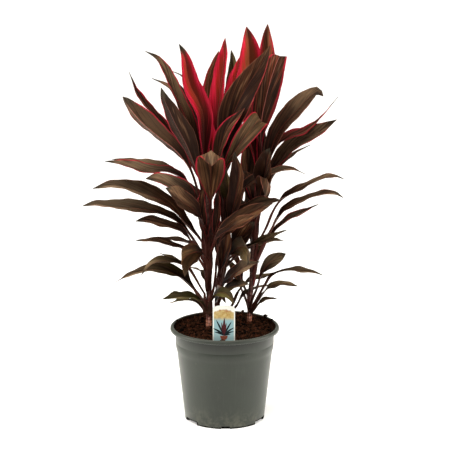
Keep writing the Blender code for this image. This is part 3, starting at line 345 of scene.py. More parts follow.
def tube_faces(rings, sides, first=0):
    """Faces of a closed tube: those between its rings, and its two ends."""
    last = first + (rings - 1) * sides
    ends = [tuple(range(first + sides - 1, first - 1, -1)), tuple(range(last, last + sides))]
    return ring_faces(rings, sides, first) + ends


def tube(centres, radii, sides, flutes=0.0):
    """A closed tube whose rings lie flat, across +Z. Flutes make every second side stand back."""
    points = []
    for centre, radius in zip(centres, radii):
        for k in range(sides):
            angle = math.tau * k / sides
            reach = radius * (1.0 - flutes * (k % 2))
            points.append(centre + Vector((math.cos(angle) * reach, math.sin(angle) * reach, 0.0)))
    return points, tube_faces(len(centres), sides)


def cane_shape(cane):
    points = cane_points(cane)
    foot = Vector((points[0].x, points[0].y, CANE_FOOT))
    radii = cane_radii(cane)
    return tube([foot] + points, [radii[0]] + radii, CANE_SIDES, CANE_FLUTES)


def bud_shape(cane):
    top = cane_points(cane)[-1]
    radius = cane_radii(cane)[-1]
    centres = [top + Vector((0.0, 0.0, BUD_GAP + BUD_LENGTH * share)) for share in (0.0, 0.5, 1.0)]
    return tube(centres, [radius, radius * 0.9, BUD_TIP_RADIUS], BUD_SIDES)


def leaf_curve(leaf, offset, steps):
    """Points along the rib. The offset moves the leaf in depth, along the lines of sight."""
    cane, row, marks = leaf.cane, leaf.row, leaf.marks
    if row:
        root = cane_spot(cane, row)
    else:
        root = cane_points(cane)[-1] + Vector((0.0, 0.0, BUD_GAP + BUD_LENGTH * 0.25))
    known = [(0.0, root.y)]
    travel = [0.0]
    for k, mark in enumerate(marks):
        if k:
            step = math.hypot(mark[0] - marks[k - 1][0], mark[1] - marks[k - 1][1])
        else:
            step = (grid_point(mark[0], mark[1], root.y) - root).length / GRID_STEP
        travel.append(travel[-1] + step)
        if len(mark) == 3:
            known.append((travel[-1], mark[2] / 100.0))
    points = [root]
    for mark, way in zip(marks, travel[1:]):
        depth = known[-1][1]
        for (w0, d0), (w1, d1) in zip(known, known[1:]):
            if w0 <= way <= w1:
                depth = d0 + (d1 - d0) * (way - w0) / max(w1 - w0, 1e-9)
                break
        depth += offset * smooth(way / travel[-1] / RAMP_END)
        points.append(grid_point(mark[0], mark[1], depth))
    return curve_through(points, steps)


def leaf_steps(leaf, offset):
    _, length = leaf_curve(leaf, offset, 8)
    return min(max(round(length / SEGMENT_LENGTH), FEWEST_SEGMENTS), MOST_SEGMENTS)


def leaf_frames(leaf, points):
    """Direction, upper-face normal and sideways vector at each point, with as little twist as can be."""
    along = directions(points)
    middle = len(points) // 2
    to_eye = (EYE - points[middle]).normalized()
    facing = to_eye - along[middle] * to_eye.dot(along[middle])
    facing.normalize()
    if points[-1].x < points[0].x:
        rising = along[middle].cross(facing)
    else:
        rising = facing.cross(along[middle])
    turn = math.radians(leaf.turn)
    normals = [None] * len(points)
    normals[middle] = facing * math.cos(turn) + rising * math.sin(turn)
    for order, back in ((range(middle + 1, len(points)), -1), (range(middle - 1, -1, -1), 1)):
        for k in order:
            carried = along[k + back].rotation_difference(along[k]) @ normals[k + back]
            normals[k] = (carried - along[k] * carried.dot(along[k])).normalized()
    return along, normals


def blade_share(way, tip):
    """Width of the blade as a share of its widest, from its start at 0 to the tip at 1."""
    if way <= 0.0 or way >= 1.0:
        return 0.0
    widest = BLADE_START / (BLADE_START + tip)
    full = widest ** BLADE_START * (1.0 - widest) ** tip
    return way ** BLADE_START * (1.0 - way) ** tip / full


def leaf_half_width(leaf, u):
    stalk = leaf.stalk
    blade = leaf.width / 2000.0 * blade_share((u - stalk) / (1.0 - stalk), leaf.drawn)
    sheath = STALK_HALF_WIDTH + (SHEATH_HALF_WIDTH - STALK_HALF_WIDTH) * (1.0 - smooth(u / 0.12))
    thin = sheath + (TIP_HALF_WIDTH - sheath) * smooth((u - stalk) / (1.0 - stalk) * 1.6)
    return math.hypot(blade, thin)


def leaf_fold(leaf, u):
    opened = smooth((u - leaf.stalk * 0.7) / 0.35)
    fold = math.radians(leaf.fold)
    return STALK_FOLD + (fold - STALK_FOLD) * opened


def leaf_wave(seed, u, side):
    """Rise of a margin, as a share of the full wave."""
    swell = smooth((u - 0.25) / 0.25) * smooth((1.0 - u) / 0.2)
    return swell * math.sin(math.tau * (u * (2.6 + 0.12 * (seed % 5)) + 0.37 * seed + 0.31 * side))


def leaf_shape(leaf, seed, offset, grow=0.0):
    """A closed blade: triangles alike on both faces, so that the waved faces never cross."""
    steps = leaf_steps(leaf, offset)
    points, _ = leaf_curve(leaf, offset, steps)
    along, normals = leaf_frames(leaf, points)
    verts = []
    for k, (point, direction, normal) in enumerate(zip(points, along, normals)):
        u = k / steps
        sideways = direction.cross(normal)
        half = leaf_half_width(leaf, u) + grow
        fold = leaf_fold(leaf, u)
        rib = STALK_THICKNESS + (RIB_THICKNESS - STALK_THICKNESS) * smooth(u / 0.5)
        rib += (TIP_THICKNESS - rib) * smooth((u - 0.7) / 0.3)
        rib = rib / 2.0 + grow
        edge = EDGE_THICKNESS / 2.0 + grow
        rise = (half - grow) * math.sin(fold)
        point = point - normal * rise * RIB_SINK
        left = point - sideways * half * math.cos(fold)
        left += normal * (rise + WAVE_HEIGHT * leaf_wave(seed, u, 0))
        right = point + sideways * half * math.cos(fold)
        right += normal * (rise + WAVE_HEIGHT * leaf_wave(seed, u, 1))
        verts += [left + normal * edge, point + normal * rib, right + normal * edge,
                  right - normal * edge, point - normal * rib, left - normal * edge]
    faces = []
    for k in range(steps):
        a, b = k * 6, k * 6 + 6
        faces += [(a, a + 1, b + 1), (a, b + 1, b)]
        faces += [(a + 5, b + 4, a + 4), (a + 5, b + 5, b + 4)]
        faces += [(a + 1, a + 2, b + 2), (a + 1, b + 2, b + 1)]
        faces += [(a + 4, b + 3, a + 3), (a + 4, b + 4, b + 3)]
        faces += [(a + 2, a + 3, b + 3), (a + 2, b + 3, b + 2)]
        faces += [(a + 5, a, b), (a + 5, b, b + 5)]
    last = steps * 6
    faces += [(0, 5, 4), (0, 4, 1), (1, 4, 3), (1, 3, 2)]
    faces += [(last, last + 4, last + 5), (last, last + 1, last + 4)]
    faces += [(last + 1, last + 3, last + 4), (last + 1, last + 2, last + 3)]
    return verts, faces


def search_tree(verts, faces, first_face=0):
    return BVHTree.FromPolygons([tuple(v) for v in verts], faces[first_face:], all_triangles=False)


def place_leaves(obstacles):
    """Moves each leaf in depth, as little as can be, until it clears the other canes and the label."""
    placed = []
    chosen = []
    for seed, leaf in enumerate(LEAVES):
        body = leaf_body(leaf)
        best = None
        for attempt in range(DEPTH_TRIES * 2 + 1):
            offset = DEPTH_STEP * ((attempt + 1) // 2) * (1 if attempt % 2 else -1)
            verts, faces = leaf_shape(leaf, seed, offset, CLEARANCE)
            whole = search_tree(verts, faces)
            free_part = int(len(faces) * ROOT_SHARE)
            outer = search_tree(verts, faces, free_part)
            cost = SHIFT_COST * ((attempt + 1) // 2)
            for other_body, tree, _ in obstacles:
                if other_body != body and whole.overlap(tree):
                    cost += BLOCKED_COST
            for other_body, tree, other_outer in placed:
                if other_body != body:
                    if whole.overlap(tree):
                        cost += BLOCKED_COST
                elif outer.overlap(other_outer):
                    cost += CROSSING_COST
            if best is None or cost < best[0]:
                best = (cost, offset, whole, outer)
            if cost < CROSSING_COST:
                break
        chosen.append(best[1])
        placed.append((body, best[2], best[3]))
    return chosen


def leaf_body(leaf):
    return ("heart_" if leaf.tone == "new" else "stem_") + leaf.cane


def around(radius, angle):
    """Place on a circle about the pot's axis, its angle counted from the front round to the right."""
    return radius * math.sin(angle), -radius * math.cos(angle)


def revolve(profile, sides):
    """Rings of points about the pot's axis, and the faces between them."""
    points = [Vector((*around(radius, math.tau * k / sides), height)) for radius, height in profile
              for k in range(sides)]
    return points, ring_faces(len(profile), sides)


def close_disc(points, faces, ring_start, sides, height):
    """Adds a centre point and a fan of triangles to a ring of points."""
    centre = len(points)
    points.append(Vector((0.0, 0.0, height)))
    for k in range(sides):
        faces.append((ring_start + k, ring_start + (k + 1) % sides, centre))


def pot_outline():
    """Outer profile from the foot up to the lip."""
    return ((FOOT_RADIUS, 0.0), (BODY_FOOT_RADIUS, 0.012), (BODY_TOP_RADIUS, BODY_TOP),
            (COLLAR_RADIUS - 0.0007, COLLAR_FOOT), (COLLAR_RADIUS + 0.0003, 0.1745),
            (LIP_RADIUS, 0.1765), (LIP_RADIUS, 0.1815), (LIP_RADIUS - 0.0025, POT_HEIGHT))


def floor_profile(gap):
    """The pot's floor inside, from the wall down to the sunk centre, a gap above it."""
    wall = BODY_FOOT_RADIUS - POT_WALL - gap
    sunk = CENTRE_FOOT_RADIUS - POT_WALL - gap
    return [(wall, POT_FLOOR + 0.004 + gap), (wall - 0.003, POT_FLOOR + gap), (sunk, POT_FLOOR + gap),
            (sunk - CENTRE_FOOT_TAPER, POT_WALL + gap)]


def soil_height(x, y):
    """Lumps by a sum of waves, on a low mound that falls towards the pot's wall."""
    reach = math.hypot(x, y) / COLLAR_RADIUS
    lumps = math.sin(x * 148.0 + 1.3) * math.cos(y * 131.0 - 0.7)
    lumps += 0.6 * math.sin(x * 233.0 - y * 171.0 + 0.4)
    lumps += 0.4 * math.cos(y * 287.0 + x * 95.0 + 2.1)
    return SOIL_TOP + SOIL_MOUND * (1.0 - reach * reach) + SOIL_LUMP * lumps * smooth((1.02 - reach) * 6.0)


def label_point(x, y, height):
    """A point of the leaning label: x across it, y through it, height up it."""
    rise = height - LABEL_BOTTOM
    back = math.sin(LABEL_LEAN) * rise + y * math.cos(LABEL_LEAN)
    up = LABEL_BOTTOM + math.cos(LABEL_LEAN) * rise - y * math.sin(LABEL_LEAN)
    return Vector((LABEL_ACROSS + x, LABEL_DEPTH + back, up))


def prism(outline, front, back):
    """A flat plate on the leaning label, from y front to y back through it."""
    count = len(outline)
    points = [label_point(x, y, z) for y in (front, back) for x, z in outline]
    faces = [tuple(range(count)), tuple(range(2 * count - 1, count - 1, -1))]
    faces += [(k, count + k, count + (k + 1) % count, (k + 1) % count) for k in range(count)]
    return points, faces


def label_shape():
    """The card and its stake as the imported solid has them."""
    half, stake = LABEL_WIDTH / 2, STAKE_WIDTH / 2
    outline = [(-stake, STAKE_BOTTOM), (stake, STAKE_BOTTOM), (stake, LABEL_BOTTOM), (half, LABEL_BOTTOM)]
    for k in range(ARCH_STEPS + 1):
        angle = math.pi * k / ARCH_STEPS
        outline.append((half * math.cos(angle), LABEL_SHOULDER + LABEL_RISE * math.sin(angle)))
    outline += [(-half, LABEL_BOTTOM), (-stake, LABEL_BOTTOM)]
    return prism(outline, -LABEL_THICKNESS / 2, LABEL_THICKNESS / 2)


# Paint of a leaf by its tone: red, dark, olive, left margin, right margin, rib and dryness of the tip. Each
# goes from 0 to 1. Olive above 1 turns green, and dark above 1 is as deep as it gets.
TONE_PAINT = {
    "new": (1.00, 0.00, 0.00, 1.00, 1.00, 0.30, 0.3),
    "rose": (0.30, 0.10, 0.10, 0.90, 0.90, 0.60, 0.5),
    "bronze": (0.10, 0.10, 0.10, 0.38, 0.38, 0.50, 0.6),
    "dark": (0.05, 0.80, 0.05, 0.20, 0.20, 0.35, 0.7),
    "olive": (0.00, 0.15, 0.80, 0.08, 0.08, 0.45, 0.7),
}
# Paint of single leaves that differ from their tone.
LEAF_PAINT = {
    "left_low_d": (0.00, 0.20, 1.30, 0.05, 0.05, 0.30, 0.3),
    "left_low_e": (0.00, 0.20, 1.30, 0.05, 0.05, 0.30, 0.3),
    "left_low_f": (0.00, 0.10, 1.15, 0.05, 0.05, 0.30, 0.3),
    "new_left_a": (0.95, 0.10, 0.25, 1.00, 1.00, 0.20, 0.8),
    "new_middle_a": (0.95, 0.00, 0.15, 1.00, 1.00, 0.70, 0.3),
    "new_middle_b": (0.95, 0.10, 0.00, 1.00, 1.00, 0.20, 0.2),
    "new_right_a": (0.80, 0.00, 0.80, 1.00, 1.00, 0.20, 0.4),
    "right_fan_a": (0.50, 0.00, 0.60, 1.00, 1.00, 0.50, 0.2),
    "middle_fan_a": (0.50, 0.00, 1.00, 1.00, 0.60, 0.90, 0.2),
    "middle_fan_b": (0.00, 0.10, 0.90, 0.20, 0.20, 0.20, 0.3),
    "middle_front_a": (0.12, 0.55, 0.05, 0.25, 0.55, 0.35, 0.2),
    "left_front": (0.14, 0.15, 0.35, 1.00, 0.80, 0.55, 0.2),
    "right_fan_b": (0.38, 0.70, 0.10, 0.70, 1.00, 0.90, 0.1),
    "left_fan_a": (0.08, 0.05, 0.10, 0.95, 0.75, 0.95, 0.6),
    "left_fan_b": (0.38, 0.35, 0.05, 0.60, 1.00, 0.60, 1.0),
    "left_fan_c": (0.20, 0.10, 0.30, 0.90, 1.00, 0.50, 0.9),
    "left_fan_d": (0.10, 0.10, 0.35, 0.60, 0.60, 0.50, 1.0),
    "left_fan_e": (0.05, 1.45, 0.05, 0.15, 0.90, 0.35, 0.7),
    "left_in_a": (0.12, 0.80, 0.00, 0.55, 0.55, 0.60, 0.3),
    "left_in_b": (0.12, 0.80, 0.00, 0.55, 0.55, 0.60, 0.3),
    "right_bend": (0.08, 0.55, 0.05, 0.35, 0.35, 0.50, 0.4),
    "left_bend": (0.02, 0.25, 0.30, 0.10, 0.10, 0.40, 0.2),
    "left_bow": (0.22, 0.00, 0.12, 1.00, 1.00, 0.45, 0.2),
    "middle_fan_c": (0.14, 0.30, 0.10, 0.90, 0.90, 0.60, 0.2),
    "right_wing_a": (0.32, 0.50, 0.00, 0.20, 0.30, 0.60, 0.4),
    "right_wing_b": (0.45, 0.10, 0.00, 0.90, 0.90, 0.60, 1.0),
    "right_wing_c": (0.24, 0.25, 0.00, 0.50, 1.00, 0.45, 0.6),
    "right_wing_g": (0.30, 0.20, 0.00, 0.60, 0.80, 0.60, 0.8),
    "left_wing_b": (0.26, 0.20, 0.05, 0.80, 0.70, 0.60, 0.8),
    "left_wing_c": (0.16, 0.20, 0.05, 0.70, 0.70, 0.70, 0.6),
    "left_wing_f": (0.10, 0.10, 0.20, 0.45, 0.20, 0.60, 0.6),
    "left_cross": (0.10, 0.15, 0.10, 0.30, 0.35, 0.70, 0.4),
    "left_cross_b": (0.10, 0.25, 0.10, 0.30, 0.35, 0.50, 0.4),
}
# How faded the outer part of a leaf is. It is 1 for other wings and low leaves, and 0.15 for the rest.
FADED = {
    "left_fan_a": 0.5, "left_fan_b": 0.4, "left_fan_c": 0.6, "left_fan_d": 0.6, "right_bend": 0.25,
    "middle_bend": 0.35, "left_bend": 0.22, "left_front": 0.3, "left_wing_d": 1.6, "left_wing_f": 1.3,
    "left_low_c": 1.4, "left_low_a": 1.2, "left_low_f": 0.3, "left_bow": 0.22,
}
# How pale the underside is at ends that bend over and show it.
PALE_UNDER = {"left_bow": 0.44, "right_bend": 0.12, "middle_bend": 0.15}
# How much of the shade by the stalk and on the deeper half is taken off leaves that catch the light.
UNSHADED = {"left_bow": 0.75, "right_fan_b": 0.3, "middle_fan_a": 0.6, "right_wing_c": 0.4, "left_front": 0.3}
# Stands in for a leaf's own draw where the photo shows which half of its blade is the deeper one.
# The half it picks is the one that gets painted shade.
SHADED_HALF = {"new_middle_a": 0.71}

# Fine blades. A ring is a cross-section of one: its share u of the leaf's length, centre, direction, normal,
# half width, fold, and how far it hugs the cane.
Ring = namedtuple("Ring", "u centre along normal half fold hug")
FINE = 4
BLADE_COLUMNS = (-1.0, -0.965, -0.87, -0.72, -0.52, -0.30, -0.13, -0.05, 0.0,
                 0.05, 0.13, 0.30, 0.52, 0.72, 0.87, 0.965, 1.0)
BLADE_HALF_THICKNESS = 0.00026
MARGIN_HALF_THICKNESS = 0.00012
RIB_DEPTH = 0.0009
RIDGE_HALF = 0.0030
GROOVE_DEPTH = 0.0004
GROOVE_HALF = 0.0014
PETIOLE_DEPTH = 0.0020
MARGIN_RIPPLE = 0.0007
BLADE_RIPPLE = 0.0009
LEAST_WRAP = 0.0045
STALK_START = 0.82
SHEATH_STEPS = 8
SHEATH_STEP = 0.0050
SHEATH_HALF = 0.0080
SHEATH_SINK = 0.93
SHEATH_FOOT_SHARE = 0.55
BARE_FOOT = 0.026
CORE_SHARE = 0.66
CORE_HEIGHTS = (0.215, 0.05)
VEIN_PITCH = 0.0064
VEIN_SLANT = 6.2

# Fine canes.
CANE_FINE_SIDES = 44
CANE_RING_STEP = 0.0017
CANE_SUNK = 0.020
CANE_TIP = 0.012
SCAR_SWELL = 0.055
GRAIN_SWELL = 0.045
FOOT_FLARE = 0.07
CANE_SLIM = 0.97
RING_PITCH = 0.0068
GLEAM_ANGLE = 4.75

# Fine pot: heights up to which painted shade darkens its foot, all round and over its gaps, and the mix the
# inside of its rim.
POT_FINE_SIDES = 180
FOOT_BAND = 0.0028
GAP_BAND = 0.0078
STAIN_TOP = 0.1812

# Fine potting mix. The lumps lie on the rim at the back: x, y and radius.
SKIRT_BOTTOM = 0.1735
SOIL_RINGS = 64
SOIL_SIDES = 150
LITTER_REACH = COLLAR_RADIUS - POT_WALL - 0.0008
CRUMB_COUNT = 1500
LARGE_CRUMB_COUNT = 150
CHIP_COUNT = 130
CHIP_SIDES = 7
FIBRE_COUNT = 360
FIBRE_STEPS = 7
RIM_LUMPS = ((0.0355, 0.0912, 0.0034), (0.0795, 0.0572, 0.0038), (0.0915, 0.0345, 0.0026),
             (-0.0925, 0.0310, 0.0024))

# Printed sprig on the label. Each blade: lean from upright and bend in degrees, length and width.
SPRIG_FOOT = LABEL_BOTTOM + 0.0105
PRINT_BLADES = (
    (0.0, 4.0, 0.0340, 0.0066), (-12.0, 4.0, 0.0260, 0.0046), (12.0, -3.0, 0.0250, 0.0046),
    (-25.0, -2.0, 0.0340, 0.0048), (25.0, 8.0, 0.0310, 0.0046), (-45.0, -24.0, 0.0250, 0.0050),
    (40.0, 28.0, 0.0255, 0.0042), (53.0, 34.0, 0.0210, 0.0040), (-58.0, -26.0, 0.0190, 0.0042),
    (72.0, 16.0, 0.0130, 0.0040),
)
PRINT_LAYER = 0.00012

# Camera and light.
LENS = 168.08
CAMERA_PLACE = (0.0006, -3.881, 1.351)
CAMERA_TILT = math.radians(76.0)
WARM = (1.0, 0.965, 0.905)
WORLD_LIGHT = 0.12
SKY_LIGHT = 3.3
LIGHTS = (
    ("side_left", (-2.3, -0.3, 1.2), (0.0, 0.0, 0.35), (1.4, 2.0), 65.0),
    ("side_right", (2.3, -0.3, 1.2), (0.0, 0.0, 0.35), (1.4, 2.0), 65.0),
    ("front_top", (-0.5, -2.4, 2.6), (0.0, 0.0, 0.40), (1.6, 1.2), 14.0),
)


def lerp(a, b, share):
    return a + (b - a) * share


def cane_at(cane, height):
    """Centre and radius of the cane at a height."""
    points = cane_points(cane)
    radii = cane_radii(cane)
    if height <= points[0].z:
        return points[0], radii[0]
    for low, high, r0, r1 in zip(points, points[1:], radii, radii[1:]):
        if low.z <= height <= high.z:
            share = (height - low.z) / (high.z - low.z)
            return low.lerp(high, share), lerp(r0, r1, share)
    return points[-1], radii[-1]


def core_radius(cane, height):
    """Bare cane at the soil, and a slimmer core where leaf stalks stand around it."""
    _, radius = cane_at(cane, height)
    start, run = CORE_HEIGHTS
    return radius * lerp(1.0, CORE_SHARE, smooth((height - start) / run))


def angle_about(axis, start, goal):
    side = axis.cross(start)
    return math.atan2(goal.dot(side), goal.dot(start))


def fine_rings(leaf, offset):
    """Cross-sections of a leaf, and the length of its rib."""
    coarse = leaf_steps(leaf, offset)
    base, _ = leaf_curve(leaf, offset, coarse)
    _, base_normals = leaf_frames(leaf, base)
    steps = coarse * FINE
    points, length = leaf_curve(leaf, offset, steps)
    rings = []
    for j, (point, direction) in enumerate(zip(points, directions(points))):
        k = min(j // FINE, coarse - 1)
        normal = base_normals[k].lerp(base_normals[k + 1], j / FINE - k)
        normal = (normal - direction * normal.dot(direction)).normalized()
        u = j / steps
        rings.append(Ring(u, point, direction, normal, leaf_half_width(leaf, u), leaf_fold(leaf, u), 0.0))
    return (wrapped_rings(leaf, rings) if leaf.row else rings), length


def wrapped_rings(leaf, rings):
    """The rings outside the cane, turned to hug it, and before them those of a sheath down the cane."""
    first = 1
    while first < len(rings) // 2:
        axis, radius = cane_at(leaf.cane, rings[first].centre.z)
        gap = rings[first].centre - axis
        if math.hypot(gap.x, gap.y) > radius * STALK_START:
            break
        first += 1
    start = rings[first]
    axis, _ = cane_at(leaf.cane, start.centre.z)
    gap = start.centre - axis
    reach = math.hypot(gap.x, gap.y)
    out = Vector((gap.x, gap.y, 0.0)).normalized()
    # The stalk turns from hugging the cane to the way the blade faces.
    goal = (start.along * out.dot(start.along) - out).normalized()
    twist = angle_about(start.along, start.normal, goal)
    opened = max(leaf.stalk * 0.95, start.u + 0.04)
    stalk = []
    for ring in rings[first:]:
        hug = 1.0 - smooth((ring.u - start.u) / (opened - start.u))
        normal = Matrix.Rotation(twist * hug, 3, ring.along) @ ring.normal
        stalk.append(ring._replace(normal=normal, hug=hug))
    sheath = []
    for k in range(SHEATH_STEPS, 0, -1):
        level = start.centre.z - SHEATH_STEP * k
        if level < cane_points(leaf.cane)[0].z + BARE_FOOT:
            continue
        share = k / SHEATH_STEPS
        axis, _ = cane_at(leaf.cane, level)
        core = core_radius(leaf.cane, level) * SHEATH_SINK
        centre = axis + out * lerp(reach, core, smooth(share * 1.15))
        half = lerp(start.half, SHEATH_HALF, smooth(share * 1.4))
        half *= lerp(1.0, SHEATH_FOOT_SHARE, smooth((share - 0.75) * 4.0))
        sheath.append(Ring(start.u, Vector((centre.x, centre.y, level)), Vector((0.0, 0.0, 1.0)), -out, half,
                           leaf_fold(leaf, start.u), 1.0))
    return sheath + stalk


def blade_section(leaf, seed, ring, length, draw):
    """Points across the upper face and the lower face of one cross-section."""
    u, centre, direction, normal, half, fold, hug = ring
    sideways = direction.cross(normal)
    open_blade = smooth((u - leaf.stalk * 0.8) / 0.16)
    half = half * (1.0 + 0.015 * math.sin(u * 31.0 + seed) * open_blade)
    rise = half * math.sin(fold)
    centre = centre - normal * rise * RIB_SINK
    wrap = max(half / 1.5, LEAST_WRAP)
    swell = open_blade * smooth((1.0 - u) / 0.12)
    fade = 1.0 - 0.75 * smooth((u - 0.35) / 0.6)
    upper = []
    lower = []
    for v in BLADE_COLUMNS:
        side = 0 if v < 0 else 1
        size = abs(v)
        height = rise * (1.22 * size - 0.22 * size * size)
        across = half * math.cos(fold) * v
        height += WAVE_HEIGHT * leaf_wave(seed, u, side) * size ** 1.6
        height += MARGIN_RIPPLE * swell * size ** 3 * math.sin(u * length * 210.0 + draw[side])
        height += BLADE_RIPPLE * swell * math.sin(u * length * 62.0 + draw[2]) * (1.0 - size * 0.4)
        if hug > 0.0:
            angle = v * half / wrap
            across = lerp(across, wrap * math.sin(angle), hug)
            height = lerp(height, wrap * (1.0 - math.cos(angle)), hug)
        spot = centre + sideways * across + normal * height
        thin = lerp(BLADE_HALF_THICKNESS, MARGIN_HALF_THICKNESS, smooth((size - 0.8) / 0.2))
        ridge = max(0.0, 1.0 - (size * half / RIDGE_HALF) ** 2) * open_blade
        thick = max(0.0, 1.0 - (size / 0.85) ** 2) * (1.0 - open_blade)
        groove = max(0.0, 1.0 - (size * half / GROOVE_HALF) ** 2) * open_blade
        upper.append(spot + normal * (thin - GROOVE_DEPTH * groove * fade))
        lower.append(spot - normal * (thin + RIB_DEPTH * ridge * fade + PETIOLE_DEPTH * thick))
    return upper, lower


def leaf_mesh(name, leaves, materials):
    """One mesh of the given (leaf, seed, offset) with what its paint reads, as point attributes."""
    verts = []
    faces = []
    under = []
    marks = {key: [] for key in ("blade", "tint", "trim", "span", "pale")}
    count = len(BLADE_COLUMNS)
    for leaf, seed, offset in leaves:
        rings, length = fine_rings(leaf, offset)
        draws = random.Random(seed * 7 + 3)
        draw = [draws.uniform(0.0, math.tau) for _ in range(3)]
        shade = SHADED_HALF.get(leaf.name, draws.random())
        red, dark, olive, left, right, rib, dry = LEAF_PAINT.get(leaf.name, TONE_PAINT[leaf.tone])
        fade = FADED.get(leaf.name, 1.0 if "wing" in leaf.name or "low" in leaf.name else 0.15)
        start = len(verts)
        for ring in rings:
            upper, lower = blade_section(leaf, seed, ring, length, draw)
            verts += upper + lower
            for v in BLADE_COLUMNS * 2:
                side = min(max(0.5 * (1.0 + v / 0.3), 0.0), 1.0)
                marks["blade"].append((ring.u, v, shade))
                marks["tint"].append((red, dark, olive))
                marks["trim"].append((lerp(left, right, side), rib, dry))
                marks["span"].append((leaf.stalk if leaf.row else 0.02, length, ring.half))
                marks["pale"].append((PALE_UNDER.get(leaf.name, 0.0), fade, UNSHADED.get(leaf.name, 0.0)))
        for i in range(len(rings) - 1):
            a = start + i * count * 2
            b = a + count * 2
            for k in range(count - 1):
                faces += [(a + k, a + k + 1, b + k + 1, b + k),
                          (a + count + k + 1, a + count + k, b + count + k, b + count + k + 1)]
                under += [0, 1]
            faces += [(a + count, a, b, b + count),
                      (a + count - 1, a + 2 * count - 1, b + 2 * count - 1, b + count - 1)]
            under += [0, 0]
        for first, way in ((start, 1), (b, -1)):
            for k in range(first, first + count - 1):
                faces.append((k, count + k, count + k + 1, k + 1)[::way])
                under.append(0)
    return mesh_object(name, verts, faces, materials, under, marks)


def mesh_object(name, verts, faces, materials, picks=None, attributes=None, soft=True):
    mesh = bpy.data.meshes.new(name)
    mesh.from_pydata([tuple(v) for v in verts], [], faces)
    for material in materials:
        mesh.materials.append(material)
    if picks is not None:
        mesh.polygons.foreach_set("material_index", picks)
    mesh.polygons.foreach_set("use_smooth", [soft] * len(mesh.polygons))
    for key, values in (attributes or {}).items():
        layer = mesh.attributes.new(key, "FLOAT_VECTOR", "POINT")
        layer.data.foreach_set("vector", np.array(values, dtype=np.float32).ravel())
    mesh.update()
    item = bpy.data.objects.new(name, mesh)
    bpy.context.scene.collection.objects.link(item)
    return item


# Materials.

class Value:
    """A node's output, so that formulas over nodes read as they would over numbers."""

    def __init__(self, paint, socket):
        self.paint = paint
        self.socket = socket

    def __add__(self, other):
        return self.paint.math("ADD", self, other)

    def __sub__(self, other):
        return self.paint.math("SUBTRACT", self, other)

    def __rsub__(self, other):
        return self.paint.math("SUBTRACT", other, self)

    def __mul__(self, other):
        return self.paint.math("MULTIPLY", self, other)

    def __abs__(self):
        return self.paint.math("ABSOLUTE", self)


class Paint:
    """A material and short ways to add nodes to it. Colours are hex codes."""

    def __init__(self, name):
        self.material = bpy.data.materials.new(name)
        self.material.use_nodes = True
        self.tree = self.material.node_tree
        self.shader = self.tree.nodes["Principled BSDF"]

    def feed(self, socket, value):
        if isinstance(value, Value):
            self.tree.links.new(value.socket, socket)
        else:
            socket.default_value = (*srgb(value), 1.0) if isinstance(value, str) else value

    def put(self, kind, inputs, output=0, **settings):
        """Adds a node, feeds its inputs by name or number, and gives back one of its outputs."""
        made = self.tree.nodes.new("ShaderNode" + kind)
        for key, value in settings.items():
            setattr(made, key, value)
        for key, value in inputs.items():
            self.feed(made.inputs[key], value)
        return Value(self, made.outputs[output])

    def math(self, operation, a, b=0.0, clamp=False):
        return self.put("Math", {0: a, 1: b}, operation=operation, use_clamp=clamp)

    def step(self, value, low, high, start=0.0, end=1.0):
        """Goes smoothly from start to end as the value goes from low to high."""
        return self.put("MapRange", dict(enumerate((value, low, high, start, end))),
                        interpolation_type="SMOOTHSTEP", clamp=True)

    def mix(self, share, a, b):
        return self.put("Mix", {0: share, 6: a, 7: b}, 2, data_type="RGBA", clamp_factor=True)

    def split(self, vector):
        outputs = self.put("SeparateXYZ", {0: vector}).socket.node.outputs
        return [Value(self, socket) for socket in outputs]

    def read(self, name):
        """The three numbers of a point attribute."""
        return self.split(self.put("Attribute", {}, "Vector", attribute_name=name))

    def vector(self, x, y, z):
        return self.put("CombineXYZ", {0: x, 1: y, 2: z})

    def place(self):
        return self.put("TexCoord", {}, "Object")

    def upright(self, where, share):
        """The place with its height scaled, so that marks are drawn out along it."""
        return self.put("Mapping", {"Vector": where, "Scale": (1.0, 1.0, share)})

    def noise(self, where, scale, detail=2.0, rough=0.5, warp=0.0):
        return self.put("TexNoise", {"Vector": where, "Scale": scale, "Detail": detail, "Roughness": rough,
                                     "Distortion": warp})

    def bump(self, height, strength, distance):
        return self.put("Bump", {"Height": height, "Strength": strength, "Distance": distance})

    def finish(self, colour, roughness, normal, **others):
        given = {"Base_Color": colour, "Roughness": roughness, "Normal": normal, **others}
        for key, value in given.items():
            self.feed(self.shader.inputs[key.replace("_", " ")], value)
        return self.material


def srgb(code):
    """A linear colour from its usual hex code."""
    parts = [int(code[k:k + 2], 16) / 255.0 for k in (0, 2, 4)]
    return tuple(c / 12.92 if c <= 0.04045 else ((c + 0.055) / 1.055) ** 2.4 for c in parts)


